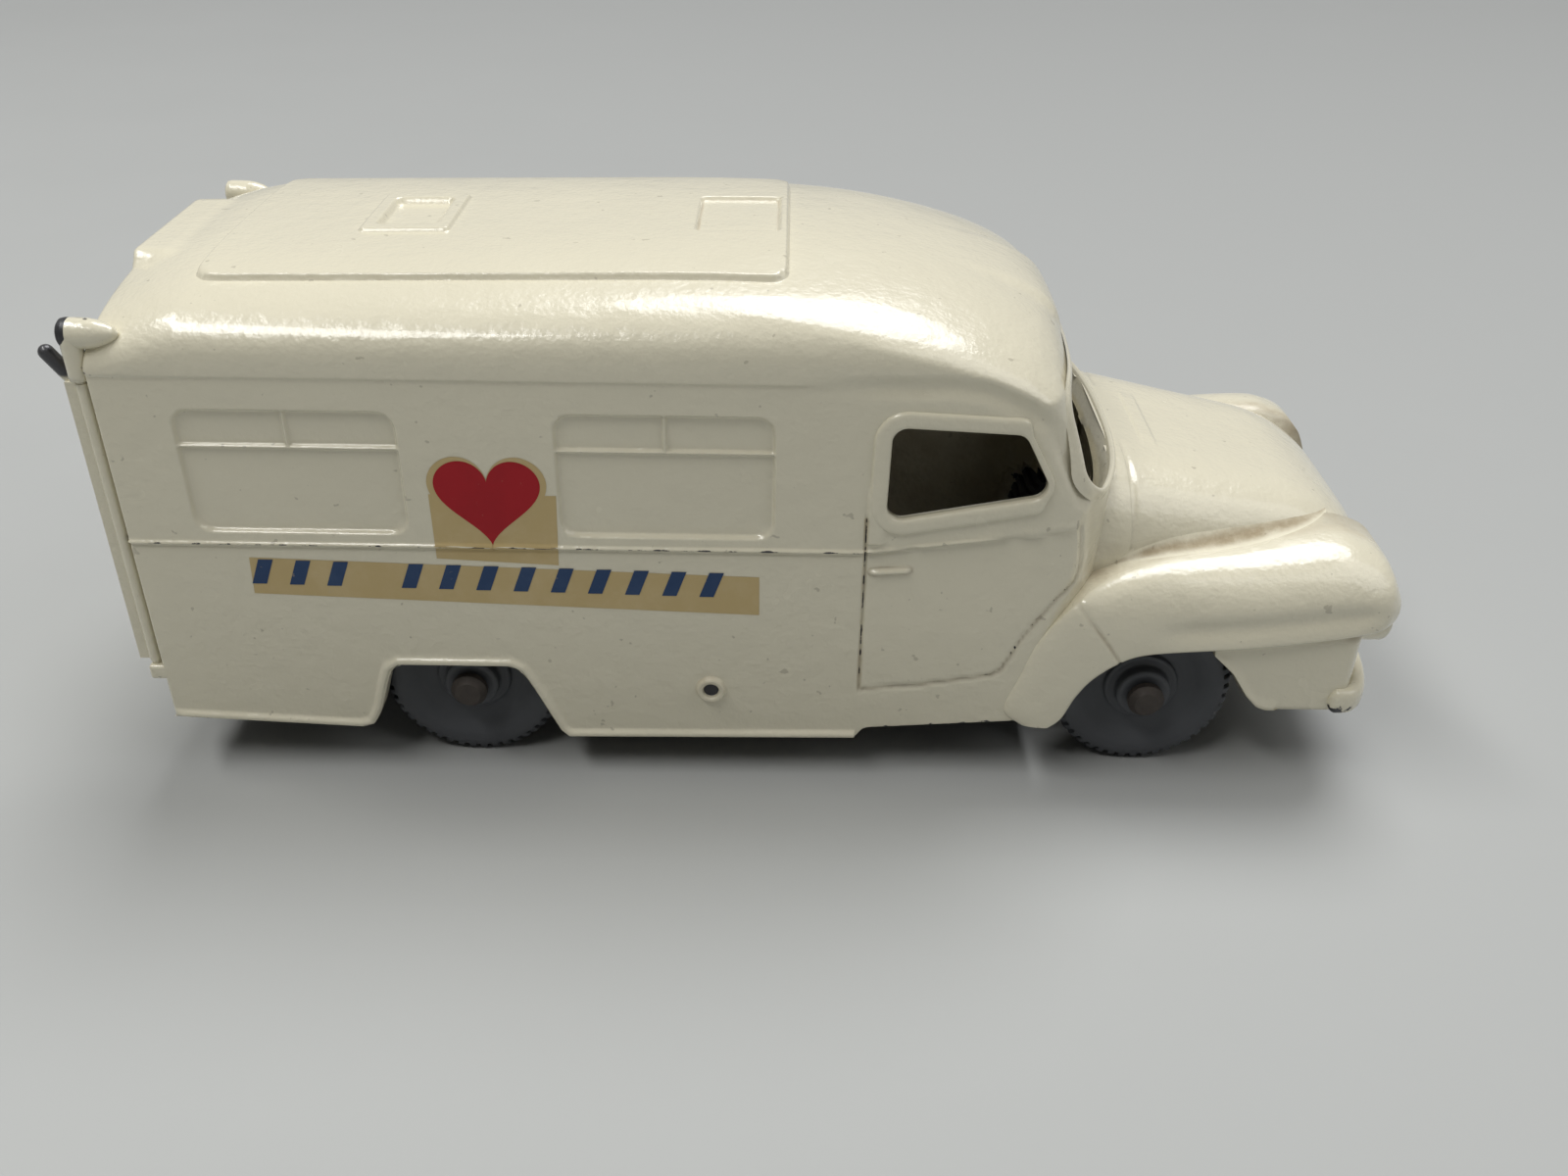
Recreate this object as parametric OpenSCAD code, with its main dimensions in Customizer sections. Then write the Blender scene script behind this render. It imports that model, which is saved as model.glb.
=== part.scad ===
// Pocket-size cast toy ambulance: a one-piece body shell, a base plate, two hinged
// rear doors, and two axles with four moulded wheels.
// +X is forward, +Y is the vehicle's left, +Z is up. The origin is on the floor,
// under the middle of the whole toy. Lengths are millimetres.

/* [Overall] */
// Length from the tips of the door lugs to the front of the bumper
overall_l = 68.65; // [67:0.05:70]
// Width across the flat sides
body_w = 24.5; // [24:0.1:26]
// Thickness of the cast wall
wall = 1.1; // [0.9:0.05:1.2]
// Front axle behind the front end
front_overhang = 13.05; // [12.6:0.05:13.5]
// Distance from the rear edge of the sides to the rear axle
rear_overhang = 16.2; // [15.8:0.1:16.8]

/* [Roof] */
// Height of the drip edge, where the side meets the roof
gutter_h = 23.5; // [23:0.1:25]
// Height of the crown above the drip edge
roof_rise = 4.2; // [3.6:0.05:4.8]
// How far the drip edge stands out from the side
drip = 0.1; // [0.05:0.01:0.3]
// How far the crown climbs from the rear edge to where it is highest
crown_climb = 0.65; // [0:0.05:0.9]
// How far the crown falls more at the rear edge
rear_drop = 0.66; // [0.3:0.02:1]
// Length over which the rear of the roof falls
rear_drop_l = 4.4; // [3:0.1:6]
// Highest place of the roof behind the cab door's gap
crown_behind = 5.2; // [3.4:0.1:9.4]
// Front end of the roof panel behind the cab door's gap
panel_behind = 4.1; // [3:0.1:7]
// Roof panel in from each side
panel_in = 3.85; // [3.3:0.05:5.2]
// Height of the step round the roof panel
panel_step = 0.3; // [0.15:0.01:0.5]
// Corner radius of the roof panel
panel_r = 1; // [0.4:0.05:2]
// Length of the rear roof hatch
rear_hatch_l = 4.6; // [3:0.1:6]
// Width of the rear roof hatch
rear_hatch_w = 6.1; // [4:0.1:8]
// Distance from the rear edge to the rear hatch
rear_hatch_back = 11.2; // [8:0.1:14]
// Width of the frame round the rear hatch
hatch_frame = 0.8; // [0.4:0.05:1.2]
// Length of the front roof hatch
front_hatch_l = 4.3; // [3:0.1:6]
// Width of the front roof hatch
front_hatch_w = 5.8; // [4:0.1:8]
// Rear edge of the front hatch behind the panel's front end
front_hatch_behind = 4.8; // [4.6:0.1:8]
// Width of the raised lip over the rear doors
lip_w = 9.6; // [6:0.1:12]
// Height of the lip's top above the floor
lip_h = 27; // [26.8:0.05:27.4]
// Width of the peak over the windscreen
peak_w = 7.6; // [5:0.1:9]
// Length of the peak
peak_l = 4.6; // [3:0.1:6]
// How far the peak stands ahead of the roof round it
peak_step = 0.5; // [0.2:0.01:0.8]

/* [Cab] */
// Front of the roof's lower edge behind the front end
brow_setback = 18.5; // [17.8:0.1:19.2]
// Foot of the windscreen behind the front end
cowl_setback = 14.9; // [14.4:0.1:15.4]
// Height of the cowl
cowl_h = 17; // [16.6:0.05:17.3]
// Height at which the windscreen leans no further
header_h = 22.6; // [22:0.05:23]
// Length of the rounded corner at the cowl
cowl_corner = 5.2; // [4:0.1:6]
// Length of the rounded corner at the brow
brow_corner = 2.4; // [2:0.1:3]
// Length of the rounded corner at the crown
crown_corner = 14; // [10:0.1:15]
// Height of the lower edge of the windscreen opening
screen_low_h = 17.5; // [17.35:0.01:17.8]
// Height of the upper edge of the windscreen opening
screen_top_h = 22.4; // [21.8:0.05:22.5]
// Windscreen opening in from each side at its foot
screen_low_in = 1.75; // [1.55:0.05:2.4]
// Windscreen opening in from each side at its top
screen_top_in = 2.25; // [1.95:0.05:3.2]
// Corner radius of the windscreen opening
screen_r = 1.4; // [0.8:0.05:2]
// Width of the rim round the windscreen and the cab windows
rim_w = 0.75; // [0.4:0.05:0.9]
// How far the rim stands out
rim_step = 0.2; // [0.1:0.01:0.3]
// Rear edge of a cab window behind the front end
cab_window_setback = 27.85; // [27.4:0.05:28.4]
// Length of the cab window
cab_window_l = 8.25; // [7.6:0.05:8.4]
// Height of the cab window
cab_window_h = 5.2; // [5:0.05:5.3]
// Height of the cab window's lower rear corner above the floor
cab_window_low = 16.1; // [15.8:0.05:16.3]
// Corner radius of the cab window
cab_window_r = 0.6; // [0.3:0.05:0.9]
// Gap behind the cab door behind the front end
cab_l = 28.8; // [28.6:0.05:29.4]
// Length of the cab door at the belt line
cab_door_l = 10.9; // [10.4:0.1:11.2]
// Height of the line along the foot of the cab door
cab_door_low = 6; // [5:0.1:7]
// How far the cab door's lines climb towards the front
cab_door_climb = 0.7; // [0.3:0.05:1]
// Length of the cab door's handle
cab_handle_l = 1.8; // [1.2:0.05:2.4]

/* [Side panels] */
// Height of the belt line
belt_h = 14.33; // [13.8:0.01:14.6]
// How far the belt line climbs along the cab door
belt_climb = 1.25; // [0.8:0.05:1.4]
// Height of the belt bead and of the other fine lines
line_w = 0.28; // [0.2:0.01:0.4]
// Depth of the fine lines, and how far the beads stand out
line_step = 0.14; // [0.08:0.01:0.2]
// Front end of the window panels behind the cab door's gap
window_ahead = 4.65; // [4:0.05:6]
// Height of a side window panel
window_h = 6.66; // [5:0.02:7]
// Height of the lower edge of the side window panels
window_low = 15; // [14.8:0.02:15.4]
// Distance from the rear edge to the rear window panel
window_back = 3.65; // [3:0.05:4.4]
// Space between the two window panels of a side
window_gap = 7.7; // [6.5:0.05:9]
// Depth of the window panels
window_depth = 0.3; // [0.15:0.01:0.45]
// Corner radius of the window panels
window_r = 0.9; // [0.4:0.05:1.5]
// Height of the glazing bar above the panel's lower edge
bar_up = 4.55; // [4:0.05:5.4]
// Width of the glazing bars
bar_w = 0.3; // [0.2:0.01:0.6]
// Outer radius of the filler cap
filler_r = 0.78; // [0.5:0.02:1]
// Radius of the hollow in the filler cap
filler_hole_r = 0.42; // [0.2:0.02:0.45]
// How far the filler cap stands out
filler_step = 0.3; // [0.2:0.02:0.5]
// Height of the filler cap
filler_h = 5.65; // [5:0.05:6.4]

/* [Skirt] */
// Height of the side's lower edge at the rear corner
skirt_rear_h = 3.3; // [3.1:0.05:3.6]
// Height of the lower edge behind the rear wheel arch
skirt_mid_h = 2.76; // [2.4:0.02:3]
// Height of the sill ahead of the rear wheel arch
sill_h = 2.3; // [2.1:0.02:2.4]
// Height of the sill at the cab door
sill_front_h = 2.5; // [2.2:0.02:2.6]
// Height of the lower edge at the rear of the cab door
door_sill_h = 3.2; // [2.9:0.05:3.4]
// Height of the lower edge at the front of the cab door
door_front_h = 3.97; // [3.7:0.02:4.1]
// Length of the rear wheel arch at its foot
rear_arch_l = 11.1; // [10.8:0.1:12]
// Height of the rear wheel arch's top
rear_arch_h = 6.95; // [6.7:0.05:7.4]
// Distance from the rear edge to the rear wheel arch
rear_arch_back = 10.4; // [10:0.1:10.8]
// Corner radius of the rear wheel arch
rear_arch_r = 0.9; // [0.4:0.05:1.2]
// Width of the lip round the rear wheel arch
arch_lip_w = 0.55; // [0.3:0.05:0.8]

/* [Hood] */
// Height of the hood at the cowl
hood_rear_h = 16.8; // [16.4:0.05:17]
// Height of the hood where the nose starts to round
hood_front_h = 15; // [14.4:0.05:15.6]
// Hood in from each side of the body at the windscreen
hood_rear_in = 2.55; // [2.2:0.05:3]
// Hood in from each side of the body at the nose
hood_front_in = 3.95; // [3.6:0.05:4.4]
// Height at which the hood's sides start to round over
hood_side_h = 10.8; // [10:0.05:11.4]
// Length of the rounded nose
nose_l = 5.2; // [4.4:0.05:6]
// How far the nose stays behind the front of the bumper
nose_setback = 0.5; // [0.3:0.02:0.8]
// Height of the nose's lower edge
nose_low_h = 5; // [4.6:0.05:5.4]
// Length of the vent flap across the cowl
vent_l = 6.2; // [4:0.1:8]
// Width of the vent flap
vent_w = 0.8; // [0.5:0.05:1.2]
// Distance from the cowl to the vent flap
vent_ahead = 1.7; // [1.2:0.05:2.4]
// Grille slots in from each side of the nose
grille_in = 2.1; // [1.8:0.05:3.2]
// Height of the grille's lower edge
grille_low_h = 7; // [6.8:0.05:7.4]
// Distance between the grille's slots
grille_pitch = 0.8; // [0.6:0.02:0.9]
// Height of a grille slot
grille_slot = 0.42; // [0.25:0.01:0.5]
// Depth of the grille's slots
grille_depth = 0.5; // [0.2:0.02:0.7]
// Number of slots in the grille
grille_slots = 5; // [3:1:5]

/* [Fenders] */
// Length of a front fender
fender_l = 20.6; // [20:0.1:21]
// Height of a front fender's crown above the floor
fender_h = 13.9; // [13.4:0.05:14.4]
// How far a front fender stands out from the body's side
fender_out = 0.5; // [0.4:0.02:0.75]
// How far the fender tips stay behind the front of the bumper
fender_setback = 0.3; // [0.1:0.02:0.6]
// Radius of the hollow round a front wheel
well_r = 5.6; // [5.3:0.05:5.9]
// Wall left outside a front wheel well
well_wall = 0.85; // [0.75:0.02:1.05]
// Clearance from a wheel well to the base plate's cheek
well_gap = 0.1; // [0.05:0.01:0.3]
// Height of the apron's lower edge
apron_low_h = 4.8; // [4.6:0.05:5.2]
// Height of the top of the apron, inside the fender
apron_top_h = 9.7; // [9.4:0.05:9.9]
// Apron in from each side of the body
apron_in = 0.1; // [0.02:0.02:0.3]
// How far the apron stays behind the front of the bumper
apron_setback = 1.1; // [0.9:0.05:1.4]
// Length of the apron's rounded corner
apron_corner = 1.8; // [1.2:0.05:2.4]
// Radius of a headlamp's bezel
lamp_r = 1.9; // [1.5:0.05:2]
// Radius of a headlamp's lens
lens_r = 1.45; // [1:0.05:1.6]
// How far the lens stands out of the bezel
lens_bulge = 0.35; // [0.1:0.02:0.5]
// Height of the headlamps' centres
lamp_h = 10; // [9.6:0.05:10.4]
// Middle of a headlamp in from the body's side
lamp_in = 2.65; // [2.3:0.05:3.2]
// How far the bezels stay behind the front of the bumper
lamp_setback = 0.65; // [0.5:0.05:1]

/* [Bumper] */
// Height of the bumper's lower edge
bumper_low_h = 4.7; // [4.5:0.05:4.75]
// Height of the bumper bar
bumper_h = 1.5; // [1.2:0.05:1.9]
// How far the bumper's ends stand out of the apron
bumper_out = 0.45; // [0.2:0.02:0.5]
// Length of the bumper's ends along the sides
bumper_wrap = 3.6; // [2.8:0.05:4.2]

/* [Rear end] */
// Distance from the rear edge of the sides to the tips of the door lugs
lug_reach = 2.45; // [2.3:0.01:2.6]
// Thickness of a rear door
door_t = 1.15; // [1.05:0.01:1.25]
// Gap between the closed doors and the body
door_gap = 0.15; // [0.1:0.01:0.2]
// Gap between the two doors
door_split = 0.2; // [0.1:0.01:0.4]
// Height of the doors' lower edge
door_low_h = 6.8; // [6.6:0.05:7]
// Height of the doors' upper edge
door_top_h = 22.8; // [22:0.05:22.9]
// Gap above and below the doors
door_end_gap = 0.2; // [0.12:0.01:0.25]
// Width of the frame that the closed doors lie against
door_frame = 1.4; // [1.2:0.05:2]
// Distance from a side to the hinge line
hinge_in = 0.5; // [0.45:0.01:0.6]
// Distance from the rear edge of the sides back to the hinge line
hinge_back = 0.45; // [0.42:0.01:0.5]
// Radius of a door's edge round the hinge line
door_edge_r = 0.3; // [0.26:0.01:0.3]
// Radius of the hinge pins
pin_r = 0.24; // [0.18:0.01:0.25]
// Length of the hinge pins
pin_l = 1.1; // [0.8:0.05:1.3]
// Height of the ledge below the doors
ledge_h = 0.85; // [0.7:0.05:1.2]
// Length of the lower hinge pins
low_pin_l = 0.7; // [0.5:0.05:0.7]
// Radial clearance of the hinge pins and the axles
running_gap = 0.05; // [0.03:0.005:0.08]
// Radius of the upper hinge ears
ear_r = 0.5; // [0.46:0.01:0.54]
// Radius of the bosses at the rear corners of the roof
boss_r = 0.75; // [0.65:0.01:0.85]
// Height of the bosses' centres
boss_h = 25.2; // [25:0.05:25.4]
// Length of the bosses
boss_l = 2.9; // [2.4:0.05:3.4]
// How far the bosses stand out behind the rear edge of the sides
boss_back = 1; // [0.9:0.05:1.2]
// Distance from the hinge line to a door lug across the door
lug_in = 0.6; // [0.55:0.01:0.8]
// Radius of a door lug
lug_r = 0.38; // [0.3:0.01:0.42]
// Angle of a door lug above level
lug_tilt = 55; // [50:1:60]
// Height of a rear door's window panel
door_window_h = 6; // [4:0.05:7]
// Distance from a door's upper edge to its window panel
door_window_down = 1.6; // [1.2:0.05:2.4]
// Width of the plain edge beside a door's window panel
door_window_edge = 1.9; // [1.4:0.05:2.6]
// Depth of a rear door's panels
door_panel_depth = 0.2; // [0.1:0.01:0.25]
// Length of a rear door's handle
door_handle_l = 2.2; // [1.4:0.05:3]
// How far a rear door's handle stands out
door_handle_step = 0.28; // [0.15:0.01:0.35]

/* [Running gear] */
// Radius of the tyres
tyre_r = 4.9; // [4.7:0.02:5]
// Width of a tyre
tyre_w = 3.2; // [2.8:0.05:3.3]
// Outer face of a wheel in from the body's side
track_in = 1.5; // [1.4:0.02:1.65]
// Depth of the tread's notches
tread_depth = 0.3; // [0.15:0.01:0.45]
// Number of knobs round the tread
tread_knobs = 45; // [36:1:50]
// Radius of the dished side of a wheel
dish_r = 3.3; // [3:0.05:3.6]
// Depth of the dished side of a wheel
dish_depth = 0.7; // [0.4:0.02:0.9]
// Radius of the rim round the hub
rim_r = 2; // [1.8:0.02:2.3]
// Radius of a hub
hub_r = 1.47; // [1.3:0.01:1.6]
// How far a hub stands out of the tyre
hub_out = 0.4; // [0.2:0.02:0.45]
// Radius of the axles
axle_r = 0.75; // [0.6:0.01:0.85]
// End of an axle in from the body's side
axle_in = 0.15; // [0.05:0.01:0.35]
// Radius of an axle's heads
head_r = 0.98; // [0.92:0.01:1.1]
// Thickness of an axle's heads
head_t = 0.7; // [0.5:0.02:0.8]

/* [Base plate] */
// Thickness of the base plate
plate_t = 0.8; // [0.6:0.02:0.9]
// Height of the base plate's underside
plate_h = 2.75; // [2.6:0.02:2.9]
// Edge of the base plate in from the body's side
plate_in = 1.45; // [1.35:0.05:2.2]
// Gap between the base plate's ends and the body
plate_gap = 0.3; // [0.2:0.02:0.6]
// Thickness of the cheeks that carry the axles
cheek_t = 0.8; // [0.6:0.02:0.9]
// Clearance from a cheek to the wheel's hub
cheek_gap = 1.05; // [0.95:0.05:1.4]
// Radius of the cheeks round the axles
cheek_r = 1.6; // [1.4:0.05:1.9]
// Gap between the tyres and the wheel cut-outs of the plate
cutout_gap = 0.7; // [0.5:0.05:0.9]
// Radius of the posts that hold the base plate
post_r = 1.15; // [1:0.02:1.3]
// Width of the shoulder on which the base plate sits
post_step = 0.3; // [0.2:0.02:0.4]
// Radius of the posts' riveted ends
rivet_r = 1.5; // [1.3:0.02:1.7]
// Thickness of the riveted ends
rivet_t = 0.35; // [0.2:0.02:0.5]
// Distance from the front of the bumper to the front post
front_post_back = 6.4; // [6:0.05:7]
// Distance from the rear edge to the rear post
rear_post_ahead = 1.9; // [1.8:0.05:2]

/* [Hidden] */

// Overrun of every cut past the faces that it opens
over = 2;

// Places along the length
front_x = overall_l / 2;
rear_x = -overall_l / 2 + lug_reach;
body_l = overall_l - lug_reach;
wheelbase = body_l - rear_overhang - front_overhang;
cab_door_back = body_l - cab_l;
cab_window_back = body_l - cab_window_setback;
brow_l = body_l - brow_setback;
cowl_l = body_l - cowl_setback;
crown_l = cab_door_back - crown_behind;
panel_l = cab_door_back - rear_drop_l - panel_behind;
panel_w = body_w - 2 * panel_in;
front_hatch_back = rear_drop_l + panel_l - front_hatch_behind;
window_l = (cab_door_back - window_back - window_gap - window_ahead) / 2;
window_pitch = window_l + window_gap;
filler_back = (rear_arch_back + rear_arch_l + cab_door_back) / 2;
screen_low_w = body_w - 2 * screen_low_in;
screen_top_w = body_w - 2 * screen_top_in;
hood_rear_w = body_w - 2 * hood_rear_in;
hood_front_w = body_w - 2 * hood_front_in;
grille_w = hood_front_w - 2 * grille_in;
fender_w = body_w + 2 * fender_out;
apron_w = body_w - 2 * apron_in;
lamp_pitch = body_w - 2 * lamp_in;
track_out_w = body_w - 2 * track_in;
axle_l = body_w - 2 * axle_in;
plate_w = body_w - 2 * plate_in;
cheek_out_w = track_out_w - 2 * (tyre_w + hub_out + cheek_gap);
well_in_w = cheek_out_w + 2 * well_gap;
well_out_w = body_w - 2 * well_wall;
rear_axle_x = rear_x + rear_overhang;
front_axle_x = rear_axle_x + wheelbase;
crown_x = rear_x + crown_l;
brow_x = rear_x + brow_l;
cowl_x = rear_x + cowl_l;
half_w = body_w / 2;
hinge_x = rear_x - hinge_back;
hinge_y = half_w - hinge_in;
axle_h = tyre_r;

// Roundness of the plan corners, the roof's front and the hood, as powers
corner_power = 2.4;
roof_power = 1.8;
roof_side_power = 3.1;
rear_side_power = 2;
corner_growth_power = 0.6;
hood_side_power = 5;
hood_top_power = 2.5;
nose_plan_power = 3.5;
nose_power = 2.1;
fender_power = 2.4;

// Facets along each curve
corner_steps = 9;
roof_steps = 11;
roof_last_angle = 86;
hood_steps = 16;
nose_steps = 8;
nose_last_share = 0.995;
fender_steps = 3;
fender_arc_steps = 7;
drop_stop_shares = [0, 0.22, 0.45, 0.7, 1];

// Cab window corners from its lower rear corner, as shares of its length and height
cab_window_shares = [[0, 0], [1, 0.31], [0.79, 0.94], [0.015, 1]];
// Rear wheel arch corners, as shares of its length and height
rear_arch_shares = [[0.05, 0.42], [0.19, 1], [0.775, 1], [0.95, 0.36]];
// Opening of a front wheel arch round the axle, as shares of the tyre's radius
front_arch_shares = [[0.66, 0.66], [0.86, 0.46], [1.06, 0.16], [1.25, 0], [1.3, -0.3], [0, -0.3], [0, 0.78]];

// One knob and one notch of the tread: shares of the knob's pitch and of the notch's depth
knob_shares = [[-0.32, 1], [0.32, 1], [0.4, 0], [0.6, 0]];
// Flat end of an axle's head, as a share of the head's radius
head_flat_share = 0.7;
// Level of the front roof hatch and of the rear hatch's frame, as shares of the panel's step
hatch_sunk_share = 0.33;
hatch_raised_share = 1.6;

// Front fender, from its rear foot over the wheel to the tip. Each row gives the upper edge and the
// lower edge as shares of the fender's length and height, then the half widths at the upper edge,
// the lower edge and the hidden root as shares of half the fender width.
fender_shares = [
    [0.039, 0.270, 0.126, 0.266, 0.949, 1.000, 0.886],
    [0.000, 0.331, 0.155, 0.309, 0.949, 1.000, 0.886],
    [0.031, 0.483, 0.184, 0.410, 0.949, 1.000, 0.886],
    [0.075, 0.658, 0.223, 0.496, 0.949, 1.000, 0.886],
    [0.158, 0.814, 0.282, 0.568, 0.940, 1.000, 0.840],
    [0.238, 0.878, 0.335, 0.604, 0.860, 1.000, 0.720],
    [0.379, 0.928, 0.422, 0.622, 0.790, 1.000, 0.600],
    [0.607, 0.957, 0.607, 0.644, 0.710, 1.000, 0.550],
    [0.820, 0.993, 0.811, 0.683, 0.640, 0.990, 0.500],
    [0.898, 0.964, 0.888, 0.698, 0.650, 0.975, 0.500],
    [0.956, 0.906, 0.942, 0.709, 0.680, 0.950, 0.500],
    [1.000, 0.806, 0.971, 0.716, 0.740, 0.900, 0.500]
];

// One closed skin over a stack of rings that have equally many points
module skin(rings) {
    n = len(rings[0]);
    m = len(rings);
    last = (m - 1) * n;
    half = floor((n - 1) / 2);
    sides = [for (i = [0 : m - 2], j = [0 : n - 1])
        let (a = i * n + j, b = i * n + (j + 1) % n)
        each [[a, b, b + n], [a, b + n, a + n]]];
    cap = [for (j = [0 : half - 1])
        let (k = n - 1 - j)
        each (j + 1 == k - 1 ? [[j, j + 1, k]] : [[j, j + 1, k - 1], [j, k - 1, k]])];
    lower = [for (f = cap) [f[2], f[1], f[0]]];
    upper = [for (f = cap) [f[0] + last, f[1] + last, f[2] + last]];
    polyhedron(points = [for (r = rings) each r], faces = concat(sides, lower, upper));
}

// Points of a smooth curve through the rows of a table
function curve_point(t, i, u) =
    let (a = t[max(i - 1, 0)], b = t[i], c = t[i + 1], d = t[min(i + 2, len(t) - 1)])
    b + (c - a) * u / 2 + (2 * a - 5 * b + 4 * c - d) * u * u / 2 + (3 * b - a - 3 * c + d) * u * u * u / 2;

function smooth_rows(t, steps) =
    concat([for (i = [0 : len(t) - 2], k = [0 : steps - 1]) curve_point(t, i, k / steps)], [t[len(t) - 1]]);

// A number raised to a power with its sign kept
function signed_pow(v, p) = sign(v) * pow(abs(v), p);

// Children on the left side and again on the right
module both_sides() {
    children();
    mirror([0, 1, 0]) children();
}

// A side-view outline made solid from half width y0 out to half width y1
module side_solid(y0, y1) {
    translate([0, y1, 0]) rotate([90, 0, 0]) linear_extrude(y1 - y0) children();
}

// Rectangle with round corners, from its lower rear corner
module round_rect(l, h, r) {
    offset(r, $fn = 32) translate([r, r]) square([l - 2 * r, h - 2 * r]);
}

// Outline with its corners rounded, inner and outer ones alike
module rounded(r) {
    offset(r, $fn = 24) offset(-2 * r, $fn = 24) offset(r, $fn = 24) children();
}

// How much of the roof's rise is left at a place along the length
function rear_part(x) = min(max((x - rear_x) / rear_drop_l, 0), 1);
function drop_share(x) =
    1 - rear_drop / roof_rise * pow(1 - rear_part(x), 2)
    - crown_climb / roof_rise * min(max((crown_x - x) / crown_l, 0), 1);

// Height of the roof's cross-section at a share of its half width, as a share of the crown's rise
function side_power(x) = rear_side_power + (roof_side_power - rear_side_power) * rear_part(x);
function arch_share(v, x) = pow(1 - pow(v, side_power(x)), 1 / side_power(x));

// Front of the plan outline and length of its rounded corner at a height below the roof
function lean(h) = min(max((h - cowl_h) / (header_h - cowl_h), 0), 1);
function plan_front(h) = cowl_x + (brow_x - cowl_x) * lean(h);
function plan_corner(h) = cowl_corner + (brow_corner - cowl_corner) * lean(h);

// Plan outlines of the coachwork, lowest first: height or rise, half width, front, corner length, and
// in the roof the share of the full half width
function coach_layers(inset, edge, low) = concat(
    [for (h = [low, cowl_h, header_h, gutter_h])
        [h, half_w - inset, plan_front(h) - inset, plan_corner(h), undef]],
    [for (i = [edge > 0 ? 0 : 1 : roof_steps])
        let (up = sin(roof_last_angle * i / roof_steps),
             v = pow(1 - pow(up, roof_side_power), 1 / roof_side_power))
        [roof_rise - inset, (half_w + edge - inset) * v,
         crown_x + (brow_x + edge - inset - crown_x) * pow(1 - pow(up, roof_power), 1 / roof_power),
         brow_corner + (crown_corner - brow_corner) * pow(up, corner_growth_power), v]]
);

// One plan outline as a ring of points, from the rear left corner round the front
function coach_ring(layer, back) =
    let (w = layer[1],
         start = layer[2] - layer[3],
         half = concat(
             [for (s = drop_stop_shares) [back + s * rear_drop_l, w]],
             [for (i = [0 : corner_steps])
                 let (a = 90 * i / corner_steps)
                 [start + layer[3] * pow(sin(a), 2 / corner_power), w * pow(cos(a), 2 / corner_power)]]),
         n = len(half),
         ring = concat(half, [for (i = [n - 2 : -1 : 0]) [half[i][0], -half[i][1]]]))
    [for (p = ring)
        [p[0], p[1], is_undef(layer[4]) ? layer[0]
            : gutter_h + layer[0] * drop_share(p[0]) * arch_share(layer[4], p[0])]];

// Van and cab as one block, set in from the outer skin by inset
module coach(inset, edge, back, low) {
    skin([for (l = coach_layers(inset, edge, low)) coach_ring(l, back)]);
}

// Half width and height of the hood at a place along the length
nose_x = front_x - nose_setback - nose_l;
function hood_along(x) = (x - cowl_x) / (nose_x - cowl_x);
function nose_part(x) = max((x - nose_x) / nose_l, 0);
function hood_half_w(x) =
    (hood_rear_w + (hood_front_w - hood_rear_w) * hood_along(x)) / 2
    * pow(1 - pow(nose_part(x), nose_plan_power), 1 / nose_plan_power);
function hood_top(x) =
    hood_side_h + (hood_rear_h + (hood_front_h - hood_rear_h) * hood_along(x) - hood_side_h)
    * pow(1 - pow(nose_part(x), nose_power), 1 / nose_power);

// Hood and nose as one block, set in from the outer skin by inset
module hood(inset, back, low) {
    stops = concat([back, (back + nose_x) / 2, nose_x],
        [for (i = [1 : nose_steps]) nose_x + nose_l * nose_last_share * sin(90 * i / nose_steps)]);
    skin([for (x = stops)
        let (b = hood_half_w(x) - inset, top = max(hood_top(x) - inset, hood_side_h - inset / 2))
        concat([[x - (x > nose_x ? inset : 0), -b, low]],
            [for (i = [0 : hood_steps])
                let (a = 180 * i / hood_steps)
                [x - (x > nose_x ? inset : 0),
                 -b * signed_pow(cos(a), 2 / hood_side_power),
                 hood_side_h - inset + (top - hood_side_h + inset) * pow(sin(a), 2 / hood_top_power)]],
            [[x - (x > nose_x ? inset : 0), b, low]])]);
}

// Left front fender
fender_back = front_x - fender_setback - fender_l;
module fender() {
    half = fender_w / 2;
    skin([for (r = smooth_rows(fender_shares, fender_steps))
        let (top = [fender_back + r[0] * fender_l, r[1] * fender_h],
             edge = [fender_back + r[2] * fender_l, r[3] * fender_h])
        concat(
            [[edge[0], r[6] * half, edge[1]], [top[0], r[6] * half, top[1]]],
            [for (i = [fender_arc_steps : -1 : 0])
                let (a = 90 * i / fender_arc_steps,
                     up = pow(sin(a), 2 / fender_power),
                     out = pow(cos(a), 2 / fender_power),
                     p = edge + (top - edge) * up)
                [p[0], (r[4] + (min(r[5], 1) - r[4]) * out) * half, p[1]]])]);
}

// Plan outline of the front end, in front of the front axle
module front_plan(w, setback, corner) {
    front = front_x - setback;
    half = [for (i = [0 : corner_steps])
        let (a = 90 * i / corner_steps)
        [front - corner + corner * pow(sin(a), 2 / corner_power), w / 2 * pow(cos(a), 2 / corner_power)]];
    polygon(concat([[front_axle_x, w / 2]], half,
        [for (i = [corner_steps - 1 : -1 : 0]) [half[i][0], -half[i][1]]], [[front_axle_x, -w / 2]]));
}

// Apron below the fenders, open inside and cut away round the wheels
module apron() {
    difference() {
        translate([0, 0, apron_low_h]) linear_extrude(apron_top_h - apron_low_h)
            front_plan(apron_w, apron_setback, apron_corner);
        translate([0, 0, apron_low_h - over]) linear_extrude(apron_top_h - wall - apron_low_h + over)
            translate([-over, 0]) front_plan(apron_w - 2 * wall, apron_setback + wall - over, apron_corner);
        both_sides() side_solid(well_in_w / 2, half_w + over)
            polygon([for (p = front_arch_shares) [front_axle_x + p[0] * tyre_r, axle_h + p[1] * tyre_r]]);
    }
}

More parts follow.
